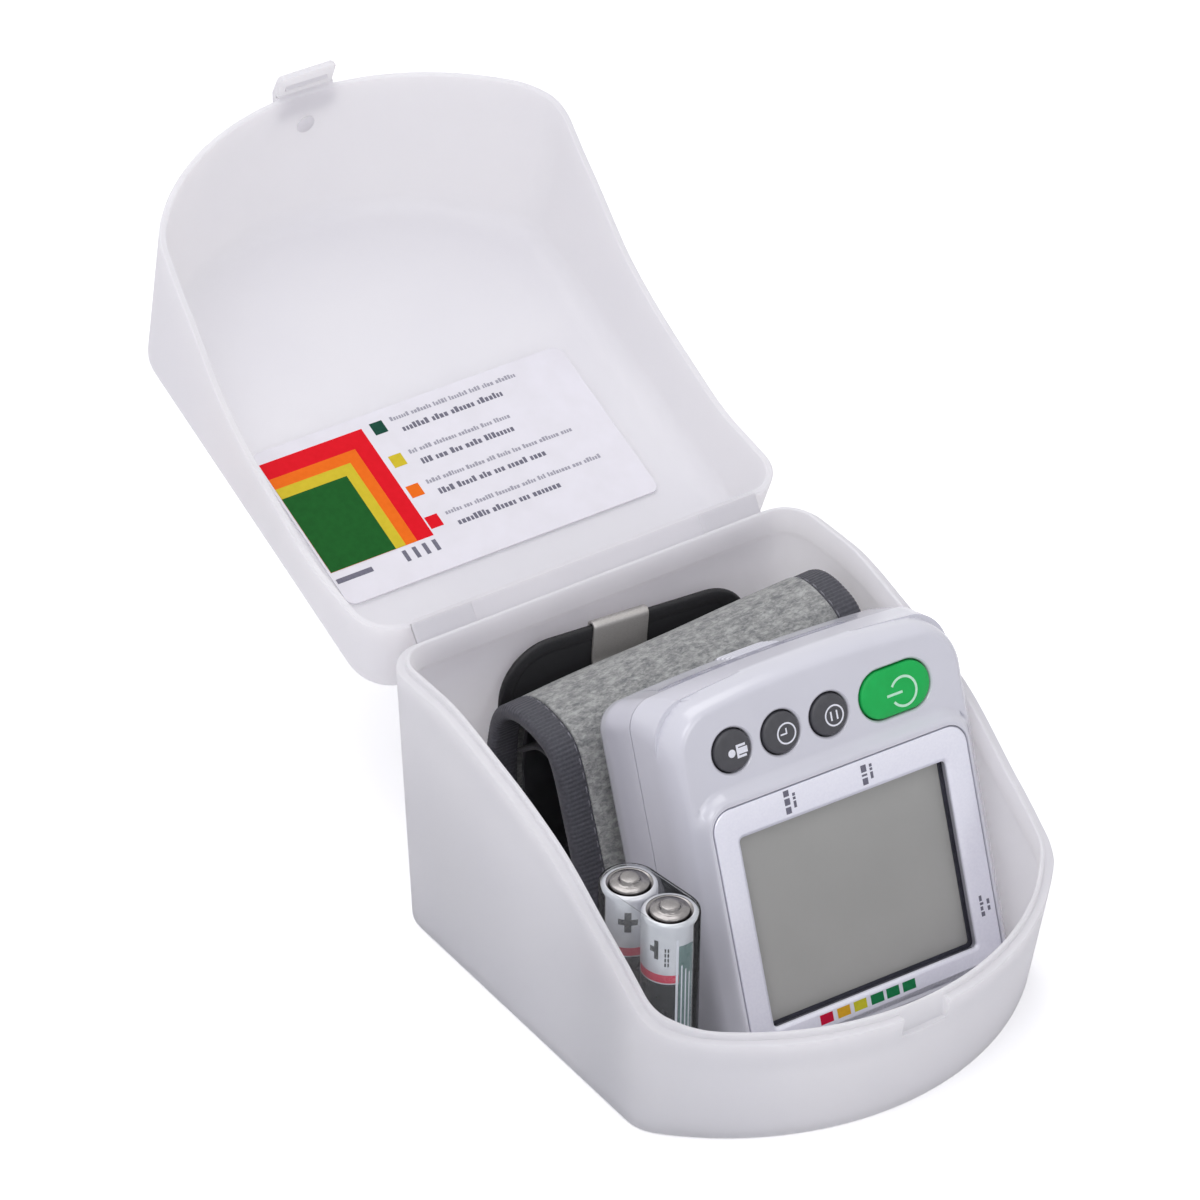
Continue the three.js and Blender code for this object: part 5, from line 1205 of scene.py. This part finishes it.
def ring_line(cu, cv, radius, line, start=0, end=360):
    """A printed ring, or a part of one, in forty steps between an outer and an inner circle."""
    steps = 40
    a, b = (arc(cu, cv, radius + way * line / 2, start, end, steps) for way in (1, -1))
    return [np.array([a[k], a[k + 1], b[k + 1], b[k]]) for k in range(steps)]


def thick_line(u0, v0, u1, v1, line):
    """A straight printed stroke."""
    way = np.array([u1 - u0, v1 - v0]) / math.hypot(u1 - u0, v1 - v0)
    side = np.array([-way[1], way[0]]) * line / 2
    a, b = np.array([u0, v0]), np.array([u1, v1])
    return np.array([a - side, b - side, b + side, a + side])


level = key_top + 0.05
u, v = keys_u["user"], key_row
head, shoulders = arc(u - 0.35, v - 0.45, 0.78, 0, 342, 19), bar(u + 0.7, u + 1.15, v - 1.75, v + 0.85)
body = bar(u + 1.15, u + 3.1, v - 1.05, v + 0.15)
arms = [bar(u + 1.15, u + 2.75, v - 1.75, v - 1.28), bar(u + 1.15, u + 2.75, v + 0.38, v + 0.85)]
print_on_face("user_sign", white_ink, [head, shoulders, body, *arms], level, "user_key")
u = keys_u["clock"]
print_on_face("clock_sign", white_ink, ring_line(u + 1.0, v - 0.43, 1.95, 0.32) + [
    thick_line(u + 1.15, v - 0.43, u - 0.35, v - 0.43, 0.3),
    thick_line(u + 1.0, v - 0.43, u + 1.0, v + 0.62, 0.3)], level, "clock_key")
u = keys_u["memory"]
print_on_face("memory_sign", white_ink, ring_line(u + 0.9, v - 0.4, 1.95, 0.32) + [
    thick_line(u + 0.2, v - 1.3, u + 0.2, v + 0.5, 0.35),
    thick_line(u + 1.5, v - 1.3, u + 1.5, v + 0.5, 0.35)], level, "memory_key")
print_on_face("power_sign", mint_ink, ring_line(power_u + 1.6, v - 0.66, 2.85, 0.5, -148, 148) + [
    thick_line(power_u - 2.2, v - 0.66, power_u + 1.3, v - 0.66, 0.5)], key_top + 0.09, "power_key")
print(f"{len(keys_u) + 1} keys, their tops {-key_top} mm below the face")

# %% [markdown]
# ## The cuff
#
# The cuff is one long band of felt, stiffener, bladder and lining, wound into a loop behind the monitor.
# Its path is a closed smooth curve in the plane across the roll; the right end stands a little higher
# than the left. Every layer is the same path moved inwards. A cloth simulation could drape the layers,
# but this cuff is stiff and keeps its form, so the cloths are modelled as they lie.

# %% The roll's path
roll_back, floor_level, roll_deep, roll_high, roll_rise = 68.325, -23.7, 39.85, 47.0, 6.0
roll_front, roll_round, strand_depth = roll_back - roll_deep, 6, 32.6


def leaning(along, depth):
    """A place on the monitor's leaning back, as Y and Z."""
    return [along * lean_sine + depth * lean_cosine, along * lean_cosine - depth * lean_sine]


roll_points = [(roll_back - s * roll_deep, floor_level + h * roll_high) for s, h in
               [(0, 0.4), (0.01, 0.72), (0.08, 0.9), (0.22, 0.985), (0.42, 1), (0.6, 0.95)]]
strand_low = (6.0 - unit_foot + 38.6 * lean_sine) / lean_cosine
roll_points += [leaning(strand_low + s * (20 - strand_low), strand_depth) for s in (1, 0.75, 0.5, 0.25, 0)]
foot_arc = arc(roll_front + roll_round, floor_level + roll_round, roll_round, 158.9, 270, 4)[1:]
heel_arc = arc(roll_back - roll_round, floor_level + roll_round, roll_round, -90, 0, 3)
under = [foot_arc[-1] + (heel_arc[0] - foot_arc[-1]) * s for s in (0.15, 0.5, 0.85)]
roll_points += [*foot_arc, *under, *heel_arc]


def risen(line):
    """The line with its upper part raised in proportion to its height, as at the right end of the roll."""
    share_up, from_share = (line[:, 1] - floor_level) / roll_high, 0.68
    rise = roll_rise * np.maximum(0, share_up - from_share) / (1 - from_share)
    return line + np.stack([0 * share_up, rise], -1)


cuff_left, cuff_right, felt_left, felt_right = -40.5, 31.3, -34.0, 24.8
roll_ends = (cuff_left, cuff_right)
fine = 1400
path_left = smooth_line(roll_points, fine, True)
path_right = risen(path_left)
around = np.linalg.norm(np.diff(path_left, axis=0), axis=1).sum()
print(f"the roll measures {around:.1f} mm around")

# %% [markdown]
# The felt is a single sheet with soft waves of a few tenths of a millimetre. The lining inside it is
# wavier, because the wound band pushes it together. The waves are sines with a whole number of turns
# round the roll, so that they meet where the path closes.


# %% Felt, stiffener, bladder and lining
def felt_wave(x, run, depth):
    """Gentle waves, the same on both faces, that close on themselves around the roll."""
    turnings = 2 * np.pi * run / around
    return 0.16 * np.sin(3 * turnings + x / 9) * np.cos(x / 14) + 0.1 * np.sin(7 * turnings - x / 6)


def lining_wave(x, run, depth):
    """Stronger folds on the inner face only."""
    turnings = 2 * np.pi * run / around
    inner = np.clip((depth - 3.4) / 0.7, 0, 1)
    return inner * (0.3 * np.sin(9 * turnings + x / 7) + 0.2 * np.sin(16 * turnings - x / 5) + 0.3)


def band_piece(name, material, paths, outline, wave, node, sharp=CREASE):
    """One layer: an outline of X and depth carried round the roll, from its left path to its right one."""
    shape = swept(paths[0], outline, True, paths[1], wave, roll_ends)
    return piece(name, "monitor", material, moved(shape, on_cuff), sharp, (node,))


coarse = path_left[::5], path_right[::5]
felt = band_piece("felt_band", cuff_felt, coarse,
                  section(felt_left - 0.9, felt_right + 0.9, -0.1, 1.0, 0.3, 30), felt_wave, "cuff_felt")
lining = band_piece("lining_band", black_cloth, coarse,
                    section(felt_left, felt_right, 3.4, 4.1, 0.2, 24), lining_wave, "cuff_lining")
bladder = band_piece("bladder_band", soft_tube, coarse,
                     section(felt_left + 4, felt_right - 4, 2.25, 3.05, 0.35, 20), None, "air_bladder")
band_piece("stiffener_band", clear_stiffener, coarse,
           section(felt_left + 2, felt_right - 2, 1.35, 1.85, 0.1, 8), None, "cuff_stiffener")
print("felt", len(felt.data.polygons), "faces, lining", len(lining.data.polygons))

# %% [markdown]
# The edges are bound with a ribbed tape, folded over the layers and sewn down with a light thread close
# to its inner edge. The ribs are real relief, because they show on the outline of the roll; the stitches
# are short raised dashes.


# %% Edge bindings
def ribs(x, run, depth):
    """Fine ribs across the tape: a cosine that repeats every 0.9 mm or so, a whole number of times."""
    rib_step = around / round(around / 0.9)
    return np.where(depth < 1.2, -0.06, 0.05) * np.cos(2 * np.pi * run / rib_step)


def stitches(x):
    """A row of short dashes laid along the outside of the roll at one place along X. A dash is a thread
    of six sides whose thickness follows half an ellipse."""
    count, sunk, half_thread = int(around / 2.7), 0.16, 0.17
    shapes = []
    normal_left, normal_right = inward(path_left, True), inward(path_right, True)
    s = (x - cuff_left) / (cuff_right - cuff_left)
    line = (path_left + normal_left * sunk) * (1 - s) + (path_right + normal_right * sunk) * s
    normal = normal_left * (1 - s) + normal_right * s
    a = np.linspace(0, 2 * np.pi, 6, endpoint=False)
    for k in (np.arange(count) * fine / count).astype(int):
        at = (k + np.arange(0, 16, 3)) % fine
        thick = half_thread * np.sqrt(np.clip(1 - np.linspace(-0.95, 0.95, len(at)) ** 2, 0, 1))
        rings = np.empty((len(at), 6, 3))
        rings[..., 0] = x + thick[:, None] * np.cos(a)
        rings[..., 1:] = line[at][:, None] - normal[at][:, None] * (thick[:, None] * np.sin(a))[..., None]
        shapes.append(loft(rings))
    return merged(*shapes)


tape_wide, seam_in = 6.2, 5.1
for side, x0, x1, seam_x in (("left", cuff_left, cuff_left + tape_wide, cuff_left + seam_in),
                             ("right", cuff_right - tape_wide, cuff_right, cuff_right - seam_in)):
    band_piece(f"binding_{side}", binding_tape, (path_left, path_right),
               section(x0, x1, 0.1, 3.1, 1.2, 4, 5), ribs, f"cuff_binding_{side}", 60)
    thread = piece(f"stitches_{side}", "monitor", stitch_thread, moved(stitches(seam_x), on_cuff), sharp=80)
    print(f"{side} seam", len(thread.data.polygons), "faces")

# %% [markdown]
# The loose inner end of the band arches inside the roll. Behind the roll stands the black tongue that
# one pulls the cuff tight with: two layers of cloth in a piped edge, with a bent metal clip over its top.
# The tongue's piping is in the profile of its rings, because a separate cord would leave a seam.

# %% Inner end, tongue and clip
tail_top = floor_level + 0.8 * roll_high
tail_points = [(leaning(strand_low, 37.0)[0] + 5, floor_level + 4.6),
               (leaning(6, 41.7)[0], leaning(6, strand_depth)[1]), (leaning(16, 41.7)[0], tail_top - 5),
               (roll_back - roll_deep / 3, tail_top), (roll_back - 5.2, tail_top - 5)]
tail_path = smooth_line(tail_points, 120, False)


def tail_wave(x, run, depth):
    """Loose folds that run across the sheet."""
    return 0.35 * np.sin(run / 5.5 + x / 8) + 0.25 * np.sin(run / 3.1 - x / 11)


tail_outline = section(cuff_left + 4.2, felt_right - 0.2, -0.42, 0.42, 0.2, 26)
tail_shape = swept(tail_path, tail_outline, False, None, tail_wave)
tail = piece("loose_inner_end", "monitor", black_cloth, moved(tail_shape, on_cuff), replaces=("cuff_inner_tail",))

tongue_wide, tongue_tall, tongue_radius, tongue_x, tongue_z = 57.8, 34.1, 11.0, -8.0, 8.76
hang = turn("y", 3.5)


def on_tongue(points):
    """From the hanging tongue's own axes to the case."""
    return on_cuff(np.asarray(points) @ hang.T + [tongue_x, 0, tongue_z])


def tongue_ring(inset, y):
    """The tongue's outline, upright, at a place from front to back."""
    outline = rounded_rectangle(tongue_wide - 2 * inset, tongue_tall - 2 * inset,
                                max(tongue_radius - inset, 0.5), steps=14)
    return np.column_stack([outline[:, 0], np.full(len(outline), y), outline[:, 1]])


near, far = roll_back + 0.3, roll_back + 1.7
# Inset and depth from the middle of the cloth, over the stitched edge and the piping, to the rim.
front_half = [(10.5, 0.28), (6, 0.24), (3.4, 0.26), (2.9, 0.22), (2.55, 0.06), (2.2, 0), (1.2, 0), (0.5, 0.08),
              (0.15, 0.28), (0, 0.55)]
tongue_rings = [tongue_ring(i, near + d) for i, d in front_half]
tongue_rings += [tongue_ring(i, far - d) for i, d in front_half[::-1]]
tongue = piece("pull_tongue", "monitor", black_edge, moved(loft(tongue_rings), on_tongue), sharp=60,
               replaces=("cuff_tongue",))
fields = [loft([tongue_ring(3.1, y), tongue_ring(3.0, y + d), tongue_ring(9, y + d)])
          for y, d in ((near + 0.2, -0.08), (far - 0.2, 0.08))]
piece("tongue_cloth", "monitor", black_cloth, moved(merged(*fields), on_tongue), sharp=60)
clip_top, clip_y, clip_x, clip_half = tongue_tall / 2 + 0.9, (near + far) / 2, -2.2, 6.3
clip_bend = arc(clip_y, clip_top - 1.3, 1.0, 180, 0, 12)
clip_path = smooth_line([(clip_y - 1.35, clip_top - 9.0), (clip_y - 1.05, clip_top - 8.2), *clip_bend,
                         (clip_y + 1.0, clip_top - 8.6)], 60, False)
clip_outline = section(clip_x - clip_half, clip_x + clip_half, -0.3, 0.3, 0.14, 6)
piece("tongue_clip_bent", "monitor", nickel, moved(swept(clip_path, clip_outline, False), on_tongue), sharp=50,
      replaces=("tongue_clip",))

# %% [markdown]
# The lining's middle lies 3.75 mm inside the path, which makes it shorter than the felt by a full turn of
# that radius.

# %% Layers
print("four sheets and one bladder")

# %% [markdown]
# ## Two cells in film
#
# Two AAA cells come shrink-wrapped together. Each can wears a printed sleeve: silver at the top, a red
# band, black below. The print is plain bars and the sign for the positive end. Each print is a thin
# curved patch over the sleeve, because an image would have to be drawn and unwrapped first.

# %% The cells
cell_axes = turn("z", 7.5)
cell_place = np.array([-37.05, -18.145, 1.8])


def on_cells(points, y=0.0):
    """From a cell's own axis to the case."""
    return (np.asarray(points) + [0, y, 0]) @ cell_axes.T + cell_place


# Radius and height, from the foot up.
can = [(0.2, 0.15), (3.6, 0.15), (3.9, 0.0), (4.6, 0.0), (4.9, 0.3), (4.9, 0.9), (4.9, 42.0), (4.85, 42.6),
       (4.6, 43.0), (4.3, 43.0), (4.15, 42.85), (0.2, 42.85)]
cap = [(0.2, 42.95), (3.5, 42.95), (3.7, 43.05), (3.7, 43.35), (3.55, 43.5), (2.5, 43.5), (2.15, 43.56),
       (1.92, 43.75), (1.9, 44.3), (1.78, 44.46), (1.55, 44.5), (0.2, 44.5)]
sleeve_radius, half_pitch, cell_steps = 5.25, 5.4, 72
sleeve_profile = [(4.95, 0.75), (5.1, 0.62), (5.22, 0.75), (sleeve_radius, 0.95), (sleeve_radius, 42.3),
                  (5.2, 42.7), (4.95, 43.05), (4.6, 43.2), (4.4, 43.2), (4.38, 43.08), (4.6, 43.05),
                  (4.9, 42.8), (4.95, 42.3)]
sleeve_rings = lathe(sleeve_profile, cell_steps)[0][:-2].reshape(len(sleeve_profile), cell_steps, 3)


def sleeve_patch(a0, a1, z0, z1, lift=0.02):
    """A print on the sleeve between two angles and two heights, with a step every five degrees or so."""
    a = np.radians(np.linspace(a0, a1, max(3, int(abs(a1 - a0) / 5) + 1)))
    r = sleeve_radius + lift
    low = np.stack([r * np.cos(a), r * np.sin(a), np.full_like(a, z0)], -1)
    high = low + [0, 0, z1 - z0]
    back = np.array([(r - 0.03) / r, (r - 0.03) / r, 1])
    return loft([low, high, high * back, low * back], ring_closed=False, stack_closed=True)


def cell_piece(name, material, y, *shapes, **more):
    """A piece of the cell whose axis stands at y from the middle of the pair."""
    piece(name, "cells", material, moved(merged(*shapes), lambda p: on_cells(p, y)), **more)


for name, y in (("near", -half_pitch), ("far", half_pitch)):
    for part, material, shape in (("can", steel, lathe(can, cell_steps)),
                                  ("sleeve", sleeve_foil, loft(sleeve_rings, stack_closed=True)),
                                  ("cap", steel, lathe(cap, 64))):
        cell_piece(f"{part}_{name}", material, y, shape, sharp=50, replaces=(f"cell_{name}_{part}",))
    cell_piece(f"black_print_{name}", sleeve_black, y, sleeve_patch(0, 360, 0.95, 29.9))
    cell_piece(f"red_print_{name}", sleeve_red, y, sleeve_patch(150, 330, 30.2, 32.0))
cell_piece("teal_print_near", sleeve_teal, -half_pitch, sleeve_patch(247, 322, 3, 38.5, 0.04))
cell_piece("white_print_near", white_ink, -half_pitch, sleeve_patch(241, 246, 3, 40, 0.05),
           *(sleeve_patch(252 + 9 * k, 255 + 9 * k, 6 + 2 * k, 34 - k, 0.06) for k in range(4)))
cell_piece("dark_print_near", sleeve_black, -half_pitch, sleeve_patch(196, 205, 35.4, 39.6, 0.04),
           sleeve_patch(186, 196, 36.9, 38.1, 0.04),
           *(sleeve_patch(218 + 6 * k, 221 + 6 * k, 34 + j, 34.8 + j, 0.04)
             for k in range(2) for j in (0, 1.1, 2.2, 3.3)))
cell_piece("plus_print_far", sleeve_black, half_pitch, sleeve_patch(205, 245, 37.2, 38.5, 0.04),
           sleeve_patch(218, 232, 35.6, 40.1, 0.045))


def film_ring(radius, z):
    """The outline of the film around both cells."""
    return at_level(rounded_rectangle(2 * radius, 2 * (radius + half_pitch), radius - 0.001, 0, 0, 18), z)


film_rings = [film_ring(radius, z) for radius, z in [
    (5.5, 0.0), (5.68, 0.2), (5.7, 0.6), (5.7, 42.6), (5.6, 43.3), (5.2, 43.6), (4.9, 43.62), (4.88, 43.5),
    (5.2, 43.45), (5.45, 43.1), (5.5, 42.5), (5.5, 0.3)]]
piece("film_sleeve", "cells", shrink_film, moved(loft(film_rings, stack_closed=True), on_cells), sharp=50,
      replaces=("cell_wrap",))
print("two cells in their film")

# %% [markdown]
# ## Table, light and camera
#
# The photograph has a pure white ground with hardly any shadow: a broad light from above and the left,
# and white walls all round. The table is white and matt. A brighter lamp could bleach it too, but would
# bleach the case with it, so the table glows a little, and only where the camera sees it.

# %% Table
table_white, output = new_material("white_table_card")
drift = add_node(table_white, "ShaderNodeTexNoise", {"Scale": 6.0}, {"Vector": add_node(
    table_white, "ShaderNodeTexCoord").outputs["Object"]}).outputs[0]
shader = add_node(table_white, "ShaderNodeBsdfDiffuse", {},
                  {0: two_tones(table_white, drift, "#ffffff", "#fdfdfe")})
glow = add_node(table_white, "ShaderNodeEmission", {"Color": (1, 1, 1, 1), "Strength": 0.32})
lit = add_node(table_white, "ShaderNodeAddShader", {}, {0: shader.outputs[0], 1: glow.outputs[0]})
to_camera = add_node(table_white, "ShaderNodeLightPath").outputs["Is Camera Ray"]
only_seen = add_node(table_white, "ShaderNodeMixShader", {}, {0: to_camera, 1: shader.outputs[0],
                                                              2: lit.outputs[0]})
table_white.node_tree.links.new(only_seen.outputs[0], output.inputs["Surface"])
table_size, table_round, table_thick = 4000, 300, 3
table_outline = rounded_rectangle(table_size, table_size, table_round)
ground = piece("white_table", None, table_white, loft([at_level(table_outline, -table_thick),
                                                       at_level(table_outline, 0)]))
ground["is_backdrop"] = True
print(f"table {table_size / 1000} m wide")

# %% [markdown]
# The room is a white that the camera, reflections and clear film see at full strength. As a light it is
# weaker, and on the left it is about twice as bright as on the right, which shades the monitor's right
# side. Three softboxes do the rest. A lamp with a hard edge would throw the shadows that the photograph
# lacks.

# %% Lamps and surroundings
bpy.context.scene.view_settings.view_transform = "Standard"
world = bpy.data.worlds.new("white_room")
bpy.context.scene.world = world
world.use_nodes = True
world.node_tree.nodes.clear()
out = add_node(world, "ShaderNodeOutputWorld")
rays = add_node(world, "ShaderNodeLightPath")
seen = rays.outputs["Is Camera Ray"]
for way_out in ("Is Glossy Ray", "Is Transmission Ray"):
    seen = add_node(world, "ShaderNodeMath", {}, {0: seen, 1: rays.outputs[way_out]}, operation="ADD",
                    use_clamp=True).outputs[0]
direction = add_node(world, "ShaderNodeTexCoord").outputs["Generated"]
sideways = add_node(world, "ShaderNodeSeparateXYZ", {}, {0: direction}).outputs["X"]
left_strength, right_strength = 0.82, 0.4
left_brighter = add_node(world, "ShaderNodeMapRange", {1: -1.0, 2: 1.0, 3: left_strength, 4: right_strength},
                         {0: sideways})
room = add_node(world, "ShaderNodeBackground", {"Color": linear("#f4f4fb")},
                {"Strength": left_brighter.outputs[0]})
white = add_node(world, "ShaderNodeBackground", {"Color": (1, 1, 1, 1), "Strength": 1.0})
mix = add_node(world, "ShaderNodeMixShader", {}, {0: seen, 1: room.outputs[0], 2: white.outputs[0]})
world.node_tree.links.new(mix.outputs[0], out.inputs[0])


def standing(x, y, z, place):
    """A placing matrix from three axes and a place in metres."""
    return Matrix([[x[i], y[i], z[i], place[i]] for i in range(3)] + [[0, 0, 0, 1]])


def lamp(name, place, aim, size, power, tint):
    """A rectangular soft light at a place in metres that looks at a point."""
    light = bpy.data.lights.new(name, "AREA")
    light.shape, light.size, light.size_y, light.energy = "RECTANGLE", *size, power
    light.color = linear(tint)[:3]
    made = bpy.data.objects.new(name, light)
    bpy.context.scene.collection.objects.link(made)
    way = np.array(place) - np.array(aim)
    z = way / np.linalg.norm(way)
    x = np.cross([0, 0, 1], z) if abs(z[2]) < 0.999 else np.array([1.0, 0, 0])
    x /= np.linalg.norm(x)
    y = np.cross(z, x)
    made.matrix_world = standing(x, y, z, place)


above_table = (0, 0, 0.04)
lamp("ceiling_softbox", (0.05, 0.4, 1.0), above_table, (0.8, 0.7), 3.8, "#fffefc")
lamp("left_softbox", (-0.55, -0.25, 0.95), above_table, (0.4, 0.5), 1.9, "#fdfdff")
lamp("front_softbox", (-0.1, -0.95, 0.8), above_table, (0.7, 0.6), 2.4, "#fffefd")
print(len(bpy.data.lights), "softboxes")

# %% [markdown]
# The camera stands about 1.1 metres away behind a long lens, as for a catalogue picture. Its
# angles, distance and lens were fitted to corners of the case and ends of the cells whose places are
# known, because a view set by eye never matches in depth.

# %% Camera
view_az, view_el, view_roll, view_far, view_lens = 34.976, 34.707, 0.602, 1097.06, 165.92
target = np.array([16.685, 75.347, 35.7])
a, e, r = np.radians([view_az, view_el, view_roll])
towards = np.array([-np.sin(a) * np.cos(e), -np.cos(a) * np.cos(e), np.sin(e)])
right = np.array([np.cos(a), -np.sin(a), 0])
upward = np.cross(towards, right)
right, upward = right * np.cos(r) + upward * np.sin(r), upward * np.cos(r) - right * np.sin(r)
camera = bpy.data.objects.new("photo_camera", bpy.data.cameras.new("photo_camera"))
bpy.context.scene.collection.objects.link(camera)
camera.data.lens, camera.data.sensor_width = view_lens, 36.0
camera.data.clip_start, camera.data.clip_end = 0.05, 10
camera.matrix_world = standing(right, upward, towards, (target + towards * view_far) * MM)
bpy.context.scene.camera = camera
print(f"camera at {view_far / 1000:.2f} m, {view_lens} mm lens")

# %% [markdown]
# Last, the whole object is measured again. The difference between the two boxes is printed, so that a
# piece that stands out of the imported model is noticed.

# %% Measure and finish
box_at_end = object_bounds()
grown = [[round(1000 * (e - s), 3) for s, e in zip(*ends)] for ends in zip(box_at_start, box_at_end)]
print("the finished model's box differs from the frame's by", grown, "mm")
